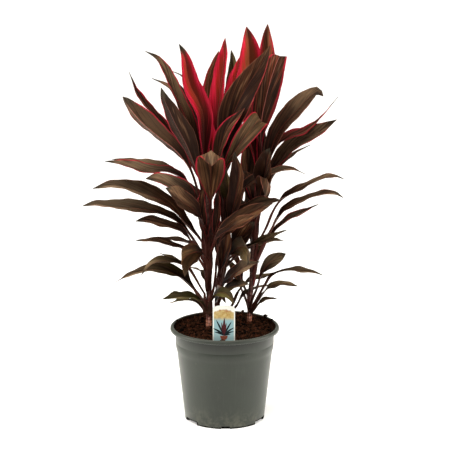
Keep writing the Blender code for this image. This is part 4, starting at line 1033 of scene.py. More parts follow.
def leaf_material(name, underside):
    p = Paint(name)
    u, v, shade = p.read("blade")
    red, dark, olive = p.read("tint")
    margin, rib, dry = p.read("trim")
    stalk, length, half = p.read("span")
    pale, fade, lit = p.read("pale")
    size = abs(v)
    run = u * length
    out = size * half
    across_veins = run - out * VEIN_SLANT
    here = p.vector(across_veins * 56.0, run * 5.0, shade * 37.0 + p.math("SIGN", v))
    streak = p.noise(here, 1.0, 4.0, 0.66)
    stray = streak - 0.5
    broad = p.noise(p.vector(across_veins * 15.0, run * 6.0, shade * 91.0), 1.0)
    fine = p.noise(p.place(), 900.0)
    blotch = p.noise(p.place(), 38.0, 3.0, 0.6)
    cloud = p.noise(p.place(), 17.0)
    vein = p.math("SINE", across_veins * (math.tau / VEIN_PITCH) + streak * 5.0)

    # Blade: bronze, darker or greener from leaf to leaf, streaked along the veins.
    body = p.mix(p.step(streak, 0.39, 0.61), "1b0805", "582b1a")
    body = p.mix(p.step(cloud + (broad - 0.5) * 0.5, 0.42, 0.62, 0.0, 0.70), body, "360b07")
    body = p.mix(p.step(streak + cloud * 0.6, 0.78, 0.94, 0.0, 0.60), body, "83522f")
    body = p.mix(olive * p.step(streak + broad, 0.70, 1.2), body, "54501f")
    body = p.mix(olive * 0.45, body, "2f2c10")
    green = p.step(olive, 1.0, 1.3) * p.step(streak + broad * 0.5, 0.55, 0.95, 0.25, 0.85)
    body = p.mix(green, body, "4c5a1c")
    body = p.mix(dark * p.step(broad + size * 0.2, 0.25, 0.75, 0.95, 0.55), body, "130504")
    body = p.mix(p.step(vein, 0.0, 1.0, 0.0, 0.14), body, "6a4029")
    faded = p.step(u, 0.42, 0.80) * p.step(cloud * 0.8 + streak * 0.9, 0.66, 1.04, 0.20, 0.95)
    body = p.mix(faded * fade * p.step(dark, 0.1, 0.8, 1.0, 0.3), body, "8a765d")
    # A painted highlight lies in a band part way out from the rib.
    gleam = p.step(abs(size - (shade * 0.25 + 0.20)), 0.03, 0.15, 1.0, 0.0)
    body = p.mix(gleam * p.step(streak + cloud * 0.7, 0.74, 0.98) * 0.45, body, "8f6a4e")
    # Painted shade: one half of a blade is darker than the other, and so is the part by the stalk.
    half_shade = p.step(v * p.math("SIGN", shade - 0.5), -0.10, 0.10, 0.0, 0.70)
    shaded = p.math("MAXIMUM", half_shade, p.step(u - stalk, 0.04, 0.58, 0.94, 0.0)) * (1.0 - lit)
    body = p.mix(shaded, body, "100403")

    # Young leaves: crimson to pink outside, deep red-brown along the middle.
    young = p.mix(p.step(size + stray * 0.9, 0.30, 0.95), "a40c12", "d81a38")
    middle = p.mix(p.step(u + stray * 0.35, 0.42, 0.68), "3e0e06", "7f2112")
    young = p.mix(p.step(size + stray * 1.3, 0.10, 0.75, 0.95, 0.0), young, middle)
    young = p.mix(p.step(broad + streak * 0.6, 0.80, 1.02, 0.0, 0.55), young, "d42646")
    young = p.mix(olive * p.step(size + stray, 0.25, 0.75, 0.95, 0.0), young, "70421f")
    young = p.mix(p.step(vein, 0.2, 1.0, 0.0, 0.12), young, "e8455c")
    # Painted shade darkens the lower middle of a young blade, and the blade's painted shade on its deeper
    # half and by its stalk lies over that.
    young_base_shade = p.step(u + stray * 0.25, 0.36, 0.66, 0.96, 0.0) * p.step(size, 0.80, 1.0, 1.0, 0.55)
    young = p.mix(young_base_shade, young, "2c0806")
    young = p.mix(shaded * 0.85, young, "2a0607")
    redness = p.step(red + stray * 0.7, 0.35, 0.72)
    colour = p.mix(redness, body, young)

    # Margin: crimson and wide on the redder leaves, thin and dull on the others.
    width = red * half * p.step(u, 0.30, 0.72, 0.10, 0.34) + streak * margin * 0.0034 + 0.0008
    rim = p.step((1.0 - size) * half, width * 0.25, width, 1.0, 0.0) * p.step(u, 0.10, 0.3)
    rim = rim * p.step(margin, 0.0, 0.5, 0.25, 1.0) * p.step(u + stray * 0.04, 0.90, 0.965, 1.0, 0.1)
    dull = p.mix(p.step(streak, 0.3, 0.7), "4c2a20", "845644")
    vivid = p.mix(p.step(streak, 0.3, 0.7), "86101c", "c82440")
    vivid = p.mix(p.step(u - stalk, 0.05, 0.55, 0.80, 0.0), vivid, "4a0b14")
    colour = p.mix(rim, colour, p.mix(p.step(margin, 0.25, 0.8), dull, vivid))

    # Midrib.
    rib_width = p.step(u, 0.2, 1.0, 0.0016, 0.0006) * (1.25 if underside else 1.0)
    on_rib = p.step(out, rib_width * 0.5, rib_width, 1.0, 0.0) * rib
    rib_colour = p.mix(streak, "7c423a", "a87468") if underside else p.mix(streak, "4a1f1a", "8a4a3c")
    rib_colour = p.mix(p.step(rib, 0.75, 1.0), rib_colour, "b0685e")
    colour = p.mix(on_rib * 0.85, colour, rib_colour)
    if underside:
        colour = p.mix(0.07, colour, p.mix(redness, "61493a", "b0243a"))
        pale = pale * p.step(size, 0.24, 0.42, 1.0, 0.12) * p.step(u, 0.5, 0.8)
        colour = p.mix(pale, colour, p.mix(streak, "6b5843", "937c5f"))

    # Stalk.
    stem = p.mix(p.step(blotch + streak * 0.5, 0.45, 0.95), "180b08", "43201a")
    stem = p.mix(olive * 0.45, stem, "33261a")
    stem = p.mix(redness * 0.7, stem, "8a141e")
    stem = p.mix(p.step(size, 0.72, 1.0) * p.step(margin, 0.3, 0.9, 0.10, 0.50), stem, "8c2028")
    colour = p.mix(p.step(u, stalk - 0.03, stalk + 0.07), stem, colour)
    # Specks, and a tip that has dried.
    colour = p.mix(p.step(blotch, 0.66, 0.8, 0.0, 0.35), colour, "22100c")
    tip = p.step(u + stray * 0.05, 0.90, 0.97) * p.math("MULTIPLY", dry, 1.35, clamp=True)
    colour = p.mix(tip, colour, p.mix(p.step(streak, 0.35, 0.65), "15110d", "423b30"))
    gloss = (0.48, 0.60) if underside else (0.36, 0.50)
    return p.finish(colour, p.step(streak, 0.2, 0.8, *gloss) + tip * 0.25,
                    p.bump(vein * 0.28 + streak * 0.9 + fine * 0.18, 0.55, 0.0005), Specular_IOR_Level=0.05)


def cane_material():
    p = Paint("cane_bark")
    where = p.place()
    height, around, kind = p.read("cane")
    fibre = p.noise(p.upright(where, 0.18), 620.0, 4.0, 0.65)
    patch = p.noise(where, 110.0, 3.0, 0.6)
    ring = p.math("SINE", height * (math.tau / RING_PITCH) + patch * 4.5)
    colour = p.mix(p.step(fibre, 0.32, 0.68), "2c120d", "642c21")
    colour = p.mix(p.step(patch, 0.45, 0.7, 0.0, 0.5), colour, "8a4c39")
    # A tan foot with a narrow painted highlight on its front, leaf scars, and darker bark above.
    tan = p.step(height + (patch - 0.5) * 0.008, 0.008, 0.0150, 1.0, 0.0) * kind
    colour = p.mix(tan * p.step(fibre + patch, 0.80, 1.2, 0.30, 0.85), colour, "bc7a5e")
    glow = p.step(abs(around - GLEAM_ANGLE), 0.08, 0.50, 1.0, 0.0) * kind
    colour = p.mix(glow * p.step(patch, 0.38, 0.60, 0.10, 0.80), colour, "e0a898")
    colour = p.mix(p.step(ring, 0.55, 1.0, 0.0, 0.80), colour, "2e1411")
    colour = p.mix(p.step(height, 0.03, 0.075, 0.0, 0.9), colour, p.mix(fibre, "1c0d0a", "4a251d"))
    colour = p.mix(p.step(height, -0.004, 0.003, 0.8, 0.0), colour, "24120d")
    return p.finish(colour, p.step(fibre, 0.2, 0.8, 0.5, 0.72), p.bump(fibre + ring * 0.35, 0.7, 0.0008),
                    Specular_IOR_Level=0.2)


def soil_material(name, light, dark, fleck, scale=1.0):
    p = Paint(name)
    where = p.place()
    grain = p.noise(where, 420.0 * scale, 5.0, 0.7)
    patch = p.noise(where, 125.0, 4.0, 0.65, 0.6)
    bits = p.put("TexVoronoi", {"Vector": where, "Scale": 330.0 * scale}, "Distance")
    speck = p.noise(where, 230.0 * scale)
    colour = p.mix(p.step(grain, 0.35, 0.65), dark, light)
    colour = p.mix(p.step(patch, 0.46, 0.60, 0.0, 0.80), colour, fleck)
    colour = p.mix(p.step(bits, 0.05, 0.22, 0.55, 0.0), colour, "0d0705")
    colour = p.mix(p.step(speck, 0.62, 0.72, 0.0, 0.7), colour, "6e4634")
    return p.finish(colour, p.step(grain, 0.3, 0.7, 0.78, 0.98),
                    p.bump(grain * 0.8 + bits * 0.7 + patch * 0.5, 1.0, 0.0022), Specular_IOR_Level=0.03)


def pot_material():
    p = Paint("pot_plastic")
    where = p.place()
    x, y, height = p.split(where)
    grain = p.noise(where, 1500.0, 2.0, 0.6)
    cloud = p.noise(where, 16.0, 3.0, 0.55)
    rub = p.noise(p.upright(where, 0.06), 260.0, 3.0, 0.6)
    dust = p.noise(where, 75.0, 5.0, 0.7)
    colour = p.mix(p.step(cloud, 0.3, 0.7), "272b25", "2c312a")
    colour = p.mix(p.step(rub, 0.5, 0.75, 0.0, 0.14), colour, "44473f")
    colour = p.mix(p.step(height, 0.0, 0.050, 0.38, 0.0) * p.step(dust, 0.4, 0.65), colour, "646254")
    colour = p.mix(p.step(dust, 0.64, 0.74, 0.0, 0.25), colour, "6c6b60")
    # A faint, patchy painted highlight runs along the top of the lip.
    lighter_share = p.step(height, 0.1818, 0.1838) * p.step(dust, 0.30, 0.60, 0.0, 0.10)
    colour = p.mix(lighter_share, colour, "767a6f")
    # Potting mix stains the inside of the rim, and painted shade lies on the collar under the lip and on the
    # foot.
    reach = p.math("SQRT", x * x + y * y)
    drop = POT_HEIGHT - height
    inside = p.step(reach + drop * 0.5, 0.0985, 0.1000, 1.0, 0.0) * p.step(height, 0.166, 0.168)
    colour = p.mix(inside * p.step(dust + drop * 110.0, 0.45, 0.70), colour, "120a06")
    shadow = p.step(reach, COLLAR_RADIUS + 0.0015, COLLAR_RADIUS + 0.0040, 1.0, 0.0)
    shadow = shadow * p.step(height, 0.150, 0.1765, 0.0, 0.62) * (1.0 - inside)
    colour = p.mix(shadow, colour, "0e0f0c")
    # Painted shade: near black round the very foot and inside the foot ring.
    ground = p.step(height + (dust - 0.5) * 0.004, 0.0014, 0.0032, 1.0, 0.0)
    under = p.step(reach, FOOT_RADIUS - 0.0016, FOOT_RADIUS - 0.0008, 1.0, 0.0)
    under = under * p.step(height, 0.010, 0.012, 1.0, 0.0)
    colour = p.mix(p.math("MAXIMUM", ground, under), colour, "0b0a08")
    return p.finish(colour, p.step(cloud, 0.25, 0.75, 0.36, 0.46) + rub * 0.08,
                    p.bump(grain * 0.35 + rub * 0.5, 0.28, 0.0003), Specular_IOR_Level=0.32,
                    Sheen_Weight=0.30, Sheen_Roughness=0.40, Sheen_Tint=(0.92, 0.96, 0.88, 1.0))


def worn_material(name, first, second, grain, roughness, bump, specular):
    """Two close colours, mixed by one noise."""
    p = Paint(name)
    lighter_share = p.noise(p.place(), *grain)
    return p.finish(p.mix(p.step(lighter_share, 0.35, 0.7), first, second), p.step(lighter_share, 0.2, 0.8, *roughness),
                    p.bump(lighter_share, *bump), Specular_IOR_Level=specular)


def foot_shade_material():
    """Painted shade under the foot and in its gaps."""
    return worn_material("pot_foot_shade", "040403", "120f0b", (240.0, 4.0, 0.65), (0.8, 0.95), (0.4, 0.0006),
                         0.05)


def ink_material(name, first, second):
    return worn_material(name, first, second, (420.0, 3.0, 0.6), (0.42, 0.54), (0.1, 0.0002), 0.12)


def card_material():
    """White edge, a straw arch above and pale blue below, with a soft change between them."""
    p = Paint("label_card")
    x, h, front = p.read("card")
    where = p.place()
    mottle = p.noise(where, 160.0, 3.0, 0.6)
    haze = p.noise(where, 330.0, 3.0, 0.6)
    sky = p.mix(p.step(h + mottle * 0.25, 0.10, 0.62), "93b2b6", "7c9fa6")
    straw = p.mix(p.step(mottle, 0.35, 0.65), "98793c", "b09d68")
    straw = p.mix(p.step(haze, 0.47, 0.58) * p.step(h, 0.76, 0.86, 0.0, 0.75), straw, "8a4a34")
    colour = p.mix(p.step(h + mottle * 0.10, 0.60, 0.72), sky, straw)
    inside = p.step(abs(x), 0.875, 0.915, 1.0, 0.0) * p.step(front, 0.4, 0.6)
    inside = inside * p.step(h + x * x * 0.09 + mottle * 0.07, 0.895, 0.935, 1.0, 0.0)
    colour = p.mix(inside, p.mix(mottle, "cfd0c8", "dedfd8"), colour)
    return p.finish(colour, p.step(mottle, 0.2, 0.8, 0.34, 0.44),
                    p.bump(p.noise(where, 1400.0) + mottle, 0.12, 0.0002), Specular_IOR_Level=0.3)


def floor_material():
    p = Paint("studio_floor")
    where = p.place()
    cloud = p.noise(where, 3.0)
    colour = p.mix(cloud, (0.90, 0.90, 0.90, 1.0), (0.94, 0.94, 0.94, 1.0))
    return p.finish(colour, p.step(cloud, 0.3, 0.7, 0.7, 0.8), p.bump(p.noise(where, 900.0), 0.02, 0.0002),
                    Emission_Color=(1.0, 1.0, 1.0, 1.0), Emission_Strength=0.22)


# Pieces.

def settle(item, node):
    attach(item, "root")
    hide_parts(node)


def make_leaves():
    upper = leaf_material("leaf_upper", False)
    lower = leaf_material("leaf_under", True)
    obstacles = [(None, search_tree(*label_shape()), None)]
    for cane in CANES:
        obstacles.append(("stem_" + cane, search_tree(*cane_shape(cane)), None))
        obstacles.append(("heart_" + cane, search_tree(*bud_shape(cane)), None))
    offsets = place_leaves(obstacles)
    for cane in CANES:
        for body, name in (("stem_" + cane, "leaves_" + cane), ("heart_" + cane, "new_leaves_" + cane)):
            group = [(leaf, seed, offset) for seed, (leaf, offset) in enumerate(zip(LEAVES, offsets))
                     if leaf_body(leaf) == body]
            settle(leaf_mesh(name, group, [upper, lower]), body)


def make_canes():
    bark = cane_material()
    for cane in CANES:
        foot, top = cane_points(cane)[0].z, cane_points(cane)[-1].z
        low, high = foot - CANE_SUNK, top + CANE_TIP
        soil = foot + 0.004
        levels = int((high - low) / CANE_RING_STEP)
        verts = []
        marks = []
        for i in range(levels + 1):
            z = lerp(low, high, i / levels)
            axis, _ = cane_at(cane, z)
            radius = core_radius(cane, z)
            if z > top:
                radius *= 1.0 - 0.85 * (z - top) / CANE_TIP
            flare = 1.0 + FOOT_FLARE * smooth((soil + 0.010 - z) / 0.016)
            for k in range(CANE_FINE_SIDES):
                angle = math.tau * k / CANE_FINE_SIDES
                scar = max(0.0, math.sin(math.tau * (z + 0.0012 * math.sin(angle + 9.0 * z)) / RING_PITCH))
                grain = noise.noise(Vector((math.cos(angle) * 3.0, math.sin(angle) * 3.0, z * 160.0)))
                reach = radius * (1.0 + SCAR_SWELL * scar ** 3) * (1.0 + GRAIN_SWELL * grain)
                reach *= flare * CANE_SLIM
                verts.append((axis.x + math.cos(angle) * reach, axis.y + math.sin(angle) * reach, z))
                marks.append((z - soil, angle, 0.4 if cane == "middle" else 1.0))
        item = mesh_object("cane_" + cane, verts, tube_faces(levels + 1, CANE_FINE_SIDES), [bark],
                           attributes={"cane": marks})
        settle(item, "stem_" + cane)


def rounded(profile, corner_cuts):
    """The profile with its listed corners cut back and rounded by that many metres."""
    made = []
    for k, spot in enumerate(profile):
        cut = corner_cuts.get(k, 0.0)
        if not cut:
            made.append(spot)
            continue
        here = Vector(spot)
        before = Vector(profile[k - 1])
        after = Vector(profile[(k + 1) % len(profile)])
        start = here + (before - here).normalized() * min(cut, (before - here).length * 0.45)
        end = here + (after - here).normalized() * min(cut, (after - here).length * 0.45)
        for j in range(5):
            t = j / 4.0
            made.append(tuple(start * (1 - t) ** 2 + here * 2 * t * (1 - t) + end * t * t))
    return made


def face_outwards(item):
    shape = bmesh.new()
    shape.from_mesh(item.data)
    bmesh.ops.recalc_face_normals(shape, faces=shape.faces)
    shape.to_mesh(item.data)
    shape.free()


def pot_cutter(centre, width, height, depth):
    """A block over an arc of the foot: its middle and width in degrees, its height, how far in it cuts."""
    points = []
    steps = 12
    for level in (-0.002, height):
        for radius in (FOOT_RADIUS - depth, FOOT_RADIUS + 0.006):
            for step in range(steps + 1):
                angle = math.radians(centre + width * (step / steps - 0.5))
                points.append((*around(radius, angle), level))
    n = steps + 1
    faces = []
    for k in range(steps):
        faces += [(k, k + 1, k + n + 1, k + n), (k + 2 * n, k + 3 * n, k + 3 * n + 1, k + 2 * n + 1)]
        faces += [(k, k + 2 * n, k + 2 * n + 1, k + 1), (k + n, k + n + 1, k + 3 * n + 1, k + 3 * n)]
    faces += [(0, n, 3 * n, 2 * n), (n - 1, 3 * n - 1, 4 * n - 1, 2 * n - 1)]
    return points, faces


def cut_foot(pot, gap):
    """Cuts a gap, given as for pot_cutter, out of the pot's foot."""
    cutter = mesh_object("foot_cutter", *pot_cutter(*gap), [])
    face_outwards(cutter)
    change = pot.modifiers.new("foot", "BOOLEAN")
    change.operation = "DIFFERENCE"
    change.object = cutter
    change.solver = "EXACT"
    bpy.context.view_layer.objects.active = pot
    bpy.ops.object.modifier_apply(modifier=change.name)
    bpy.data.objects.remove(cutter, do_unlink=True)


def pot_profile():
    """The pot's section, from the centre of its underside out, up, over the lip and down inside."""
    outline = list(pot_outline())
    outline[1:1] = [(FOOT_RADIUS + 0.0004, FOOT_BAND), (FOOT_RADIUS + 0.00085, GAP_BAND)]
    # A shallow line runs round the collar.
    outline[6:6] = [(COLLAR_RADIUS - 0.0003, 0.1530), (COLLAR_RADIUS - 0.0006, 0.1535),
                    (COLLAR_RADIUS - 0.0006, 0.1542), (COLLAR_RADIUS - 0.0003, 0.1547)]
    inner = [(LIP_RADIUS - 0.0060, POT_HEIGHT), (LIP_RADIUS - 0.0076, STAIN_TOP),
             (COLLAR_RADIUS - POT_WALL, 0.1740), (COLLAR_RADIUS - 0.0007 - POT_WALL, COLLAR_FOOT),
             (BODY_TOP_RADIUS - POT_WALL, BODY_TOP - 0.0005)] + floor_profile(0.0)
    under = [(CENTRE_FOOT_RADIUS - CENTRE_FOOT_TAPER, 0.0), (CENTRE_FOOT_RADIUS, FOOT_GAP_HEIGHT),
             (FOOT_RADIUS - FOOT_RING_WIDTH, FOOT_GAP_HEIGHT), (FOOT_RADIUS - FOOT_RING_WIDTH, 0.0)]
    foot = len(under)
    cuts = {-1: 0.0008, 0: 0.0008, 3: 0.004, 4: 0.004, 5: 0.004, 10: 0.0015, 11: 0.0018, 12: 0.0020,
            13: 0.0016, 14: 0.0016}
    return rounded(under + outline + inner, {foot + k: cut for k, cut in cuts.items()})


def paint_pot_faces(pot):
    """Gives the foot's painted shade and the stained inside of the rim their own materials."""
    for face in pot.data.polygons:
        x, y, z = face.center
        reach = math.hypot(x, y)
        angle = math.degrees(math.atan2(x, -y))
        top = max(pot.data.vertices[k].co.z for k in face.vertices)
        open_foot = any(abs((angle - centre + 180.0) % 360.0 - 180.0) < FOOT_GAP_DEGREES / 2 + 1.0
                        for centre in FOOT_GAP_CENTRES)
        if (top < FOOT_BAND + 0.0015 or (z < GAP_BAND and reach < FOOT_RADIUS - 0.0012)
                or (open_foot and top < GAP_BAND + 0.0001)):
            face.material_index = 1
        if reach < COLLAR_RADIUS + 0.004 and 0.1735 < z and top < STAIN_TOP + 0.0016:
            if face.normal.x * x + face.normal.y * y < 0.0:
                face.material_index = 2


def make_pot(rim_material):
    profile = pot_profile()
    points, faces = revolve(profile, POT_FINE_SIDES)
    close_disc(points, faces, 0, POT_FINE_SIDES, 0.0)
    close_disc(points, faces, (len(profile) - 1) * POT_FINE_SIDES, POT_FINE_SIDES, POT_WALL)
    # The edges of the foot's painted shade and of the stain aren't level.
    for point in points:
        if abs(point.z - FOOT_BAND) < 1e-6:
            point.z += 0.0012 * noise.noise(Vector((point.x, point.y, 0.0)) * 75.0)
        if abs(point.z - STAIN_TOP) < 1e-6:
            point.z += 0.0014 * noise.noise(Vector((point.x, point.y, 0.02)) * 150.0)
    pot = mesh_object("nursery_pot", points, faces, [pot_material(), foot_shade_material(), rim_material])
    face_outwards(pot)
    # The notch is cut only part way into the foot ring, and its back wall takes the painted shade.
    cut_foot(pot, (FOOT_NOTCH_CENTRE, FOOT_NOTCH_DEGREES, FOOT_NOTCH_HEIGHT + 0.0024, 0.0042))
    for centre in FOOT_GAP_CENTRES:
        cut_foot(pot, (centre, FOOT_GAP_DEGREES, FOOT_GAP_HEIGHT, FOOT_RING_WIDTH + 0.002))
    paint_pot_faces(pot)
    bpy.ops.object.select_all(action="DESELECT")
    pot.select_set(True)
    bpy.context.view_layer.objects.active = pot
    bpy.ops.object.shade_auto_smooth(angle=math.radians(32.0))
    bpy.ops.object.convert(target="MESH")
    settle(pot, "pot")


def fine_soil_height(x, y):
    spot = Vector((x, y, 0.0))
    reach = math.hypot(x, y) / COLLAR_RADIUS
    calm = smooth((1.04 - reach) * 9.0)
    rough = 0.0022 * noise.fractal(spot * 95.0, 0.8, 2.0, 4)
    rough += 0.0011 * noise.fractal(spot * 310.0 + Vector((5.0, 2.0, 1.0)), 0.7, 2.0, 3)
    return soil_height(x, y) + rough * calm


def make_soil(ground):
    red = soil_material("peat_crumb", "5c3322", "1c0d07", "241209", 1.6)
    black = soil_material("dark_crumb", "120a06", "030201", "080402", 1.6)
    bark = soil_material("bark_chip", "5c3826", "2c180f", "3c2216", 2.0)
    top = COLLAR_RADIUS - POT_WALL - SOIL_GAP - SOIL_SLACK
    rings, sides = SOIL_RINGS, SOIL_SIDES
    points = []
    for i in range(rings, 0, -1):
        for k in range(sides):
            x, y = around((top + 0.0022) * i / rings, math.tau * k / sides)
            points.append(Vector((x, y, fine_soil_height(x, y))))
    points += [Vector((*around(top, math.tau * k / sides), SKIRT_BOTTOM)) for k in range(sides)]
    faces = ring_faces(rings, sides)
    skirt = rings * sides
    faces += [(skirt + k, skirt + (k + 1) % sides, (k + 1) % sides, k) for k in range(sides)]
    close_disc(points, faces, (rings - 1) * sides, sides, fine_soil_height(0.0, 0.0))
    faces.append(tuple(range(skirt + sides - 1, skirt - 1, -1)))
    settle(mesh_object("potting_mix", points, faces, [ground]), "soil")
    draws = random.Random(11)
    scatter_crumbs(draws, [red, black])
    scatter_chips(draws, [bark])
    scatter_fibres(draws, [red])


def drop_spot(draws, limit):
    """A random place on the potting mix."""
    return around(limit * math.sqrt(draws.random()), draws.uniform(0.0, math.tau))


def ball(subdivisions):
    shape = bmesh.new()
    bmesh.ops.create_icosphere(shape, subdivisions=subdivisions, radius=1.0)
    points = [v.co.copy() for v in shape.verts]
    faces = [tuple(v.index for v in f.verts) for f in shape.faces]
    shape.free()
    return points, faces


def scatter_crumbs(draws, materials):
    """Crumbs and lumps of peat, each a dented ball. A few lie on the rim."""
    coarse, fine = ball(1), ball(2)
    spots = []
    for _ in range(CRUMB_COUNT):
        spots.append((*drop_spot(draws, LITTER_REACH), 0.0007 + 0.0016 * draws.random() ** 2.2, 0.25))
    for _ in range(LARGE_CRUMB_COUNT):
        spots.append((*drop_spot(draws, LITTER_REACH - 0.003), draws.uniform(0.0022, 0.0042), 0.1))
    points = []
    faces = []
    picks = []
    for x, y, radius, lift in spots + [(*lump, None) for lump in RIM_LUMPS]:
        base_points, base_faces = fine if radius > 0.0020 else coarse
        low = POT_HEIGHT + radius * 0.55 if lift is None else fine_soil_height(x, y) + radius * lift
        centre = Vector((x, y, low))
        shape = Vector((draws.uniform(0.75, 1.3), draws.uniform(0.7, 1.2), draws.uniform(0.6, 1.0)))
        seed = Vector((draws.uniform(0, 90), draws.uniform(0, 90), draws.uniform(0, 90)))
        start = len(points)
        for spot in base_points:
            lump = 1.0 + 0.42 * noise.noise(spot * 1.7 + seed)
            points.append(centre + spot * shape * radius * lump)
        faces += [tuple(start + k for k in face) for face in base_faces]
        picks += [draws.choice((0, 0, 1, 1, 1))] * len(base_faces)
    settle(mesh_object("soil_crumbs", points, faces, materials, picks), "soil")


def scatter_chips(draws, materials):
    """Bark chips: thin slabs with broken edges."""
    points = []
    faces = []
    for _ in range(CHIP_COUNT):
        x, y = drop_spot(draws, LITTER_REACH - 0.006)
        long, wide, thick = (draws.uniform(0.003, 0.008), draws.uniform(0.0012, 0.0032),
                             draws.uniform(0.0004, 0.0010))
        tilt = Matrix.Rotation(draws.uniform(0.0, math.tau), 3, "Z")
        tilt = tilt @ Matrix.Rotation(draws.uniform(-0.5, 0.5), 3, "X")
        tilt = tilt @ Matrix.Rotation(draws.uniform(-0.4, 0.4), 3, "Y")
        centre = Vector((x, y, fine_soil_height(x, y) + thick))
        start = len(points)
        turns = [math.tau * k / CHIP_SIDES for k in range(CHIP_SIDES)]
        edge = [(math.cos(turn) * long * draws.uniform(0.75, 1.1) * 0.6,
                 math.sin(turn) * wide * draws.uniform(0.7, 1.15)) for turn in turns]
        points += [centre + tilt @ Vector((ex, ey, level)) for level in (-thick, thick) for ex, ey in edge]
        faces += tube_faces(2, CHIP_SIDES, start)
    settle(mesh_object("bark_chips", points, faces, materials, soft=False), "soil")


def scatter_fibres(draws, materials):
    """Peat fibres that lie on the surface."""
    points = []
    faces = []
    for _ in range(FIBRE_COUNT):
        x, y = drop_spot(draws, LITTER_REACH - 0.007)
        heading = draws.uniform(0.0, math.tau)
        bend = draws.uniform(-0.9, 0.9)
        length = draws.uniform(0.005, 0.015)
        thick = draws.uniform(0.00014, 0.00034)
        path = []
        for k in range(FIBRE_STEPS + 1):
            heading += bend / FIBRE_STEPS
            x += math.cos(heading) * length / FIBRE_STEPS
            y += math.sin(heading) * length / FIBRE_STEPS
            lift = 0.0006 + 0.0016 * math.sin(math.pi * k / FIBRE_STEPS) * draws.uniform(0.2, 1.0)
            if math.hypot(x, y) < LITTER_REACH:
                path.append(Vector((x, y, fine_soil_height(x, y) + lift)))
        if len(path) > 3:
            add_tube(points, faces, path, thick, 4)
    settle(mesh_object("peat_fibres", points, faces, materials), "soil")


def add_tube(points, faces, path, radius, sides):
    """Adds a closed tube along any path."""
    faces += tube_faces(len(path), sides, len(points))
    for centre, direction in zip(path, directions(path)):
        first = direction.cross(Vector((0.0, 0.0, 1.0)))
        first = first.normalized() if first.length > 1e-6 else Vector((1.0, 0.0, 0.0))
        second = direction.cross(first)
        for angle in (math.tau * k / sides for k in range(sides)):
            points.append(centre + first * math.cos(angle) * radius + second * math.sin(angle) * radius)


def card_outline(corner):
    """The card above its stake, anticlockwise in (across, height), with rounded lower corners."""
    half = LABEL_WIDTH / 2
    low = LABEL_BOTTOM + corner
    turns = [math.pi / 2 * k / 6 for k in range(7)]
    outline = [(half - corner + corner * math.cos(math.pi * 1.5 + turn),
                low + corner * math.sin(math.pi * 1.5 + turn)) for turn in turns]
    for k in range(41):
        angle = math.pi * k / 40
        outline.append((half * math.cos(angle), LABEL_SHOULDER + LABEL_RISE * math.sin(angle) ** 0.9))
    outline += [(-half + corner + corner * math.cos(math.pi + turn), low + corner * math.sin(math.pi + turn))
                for turn in turns]
    return outline


def print_blade(lean, bend, length, wide, count=14):
    """A blade of the printed sprig: its lean from upright and its bend, in degrees."""
    x, z = 0.0, SPRIG_FOOT
    left = []
    right = []
    for k in range(count + 1):
        share = k / count
        angle = math.radians(lean + bend * share)
        half = wide / 2 * (share + 0.06) ** 0.7 * (1.0 - share) ** 0.8 * 1.9
        left.append((x - half * math.cos(angle), z + half * math.sin(angle)))
        right.append((x + half * math.cos(angle), z - half * math.sin(angle)))
        x += math.sin(angle) * length / count
        z += math.cos(angle) * length / count
    return right + left[::-1][1:]


def label_piece(name, outline, front, back, material, attributes=None):
    points, faces = prism(outline, front, back)
    settle(mesh_object(name, points, faces, [material], attributes=attributes, soft=False), "label")


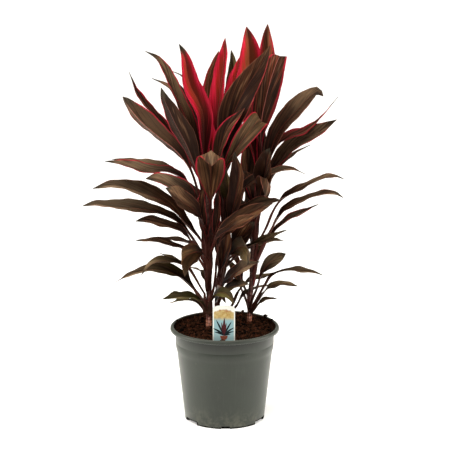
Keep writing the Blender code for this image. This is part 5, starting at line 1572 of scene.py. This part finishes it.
def make_label():
    thick = LABEL_THICKNESS / 2
    card = card_outline(0.0018)
    marks = [(x / (LABEL_WIDTH / 2), (z - LABEL_BOTTOM) / (LABEL_TOP - LABEL_BOTTOM), side)
             for side in (1.0, 0.0) for x, z in card]
    label_piece("plant_label", card, -thick, thick, card_material(), {"card": marks})
    stake, top = STAKE_WIDTH / 2, LABEL_BOTTOM + 0.001
    label_piece("label_stake", [(-stake, STAKE_BOTTOM), (stake, STAKE_BOTTOM), (stake, top), (-stake, top)],
                -thick * 0.9, thick * 0.9, ink_material("stake_plastic", "e6e8e2", "f2f3ee"))
    ink = ink_material("label_ink", "061519", "0c2226")
    wine = ink_material("label_wine", "340f13", "4a181d")
    turns = [math.pi + math.pi * k / 24 for k in range(25)]
    bowl = [(0.0072 * math.cos(turn), LABEL_BOTTOM + 0.0098 + 0.0085 * math.sin(turn)) for turn in turns]
    prints = [(bowl, ink_material("label_clay", "6f3a2a", "864a37"), 0.0)]
    for k, row in enumerate(PRINT_BLADES):
        prints.append((print_blade(*row), wine if abs(row[0]) < 15.0 else ink, k % 3))
    for k, (outline, material, lift) in enumerate(prints):
        front = -thick - PRINT_LAYER * (1.0 + 0.4 * lift)
        label_piece("label_print_%d" % k, outline, front, -thick + 0.0002, material)


def add_lamp(name, kind, place, aim, power):
    data = bpy.data.lights.new(name, kind)
    data.energy = power
    data.color = WARM
    lamp = bpy.data.objects.new(name, data)
    bpy.context.scene.collection.objects.link(lamp)
    lamp.location = place
    lamp.rotation_euler = (Vector(aim) - Vector(place)).to_track_quat("-Z", "Y").to_euler()
    return data


def make_studio():
    floor = mesh_object("studio_floor", [(-9, -9, 0), (9, -9, 0), (9, 9, 0), (-9, 9, 0)], [(0, 1, 2, 3)],
                        [floor_material()])
    world = bpy.data.worlds.new("studio")
    bpy.context.scene.world = world
    world.use_nodes = True
    background = world.node_tree.nodes["Background"]
    background.inputs["Color"].default_value = (*WARM, 1.0)
    background.inputs["Strength"].default_value = WORLD_LIGHT
    add_lamp("overhead", "SUN", (0.0, 0.0, 0.0), (0.12, 0.18, -1.0), SKY_LIGHT).angle = math.radians(75.0)
    for name, place, aim, size, power in LIGHTS:
        lamp = add_lamp(name, "AREA", place, aim, power)
        lamp.shape = "RECTANGLE"
        lamp.size, lamp.size_y = size


def make_camera():
    data = bpy.data.cameras.new("camera")
    data.lens = LENS
    data.sensor_width = 36.0
    camera = bpy.data.objects.new("camera", data)
    bpy.context.scene.collection.objects.link(camera)
    camera.location = CAMERA_PLACE
    camera.rotation_euler = (CAMERA_TILT, 0.0, 0.0)
    bpy.context.scene.camera = camera


make_camera()
make_studio()
potting_mix = soil_material("potting_mix", "43281a", "0b0602", "050301")
make_pot(potting_mix)
make_soil(potting_mix)
make_label()
make_canes()
make_leaves()
bpy.context.scene.view_settings.view_transform = "Standard"
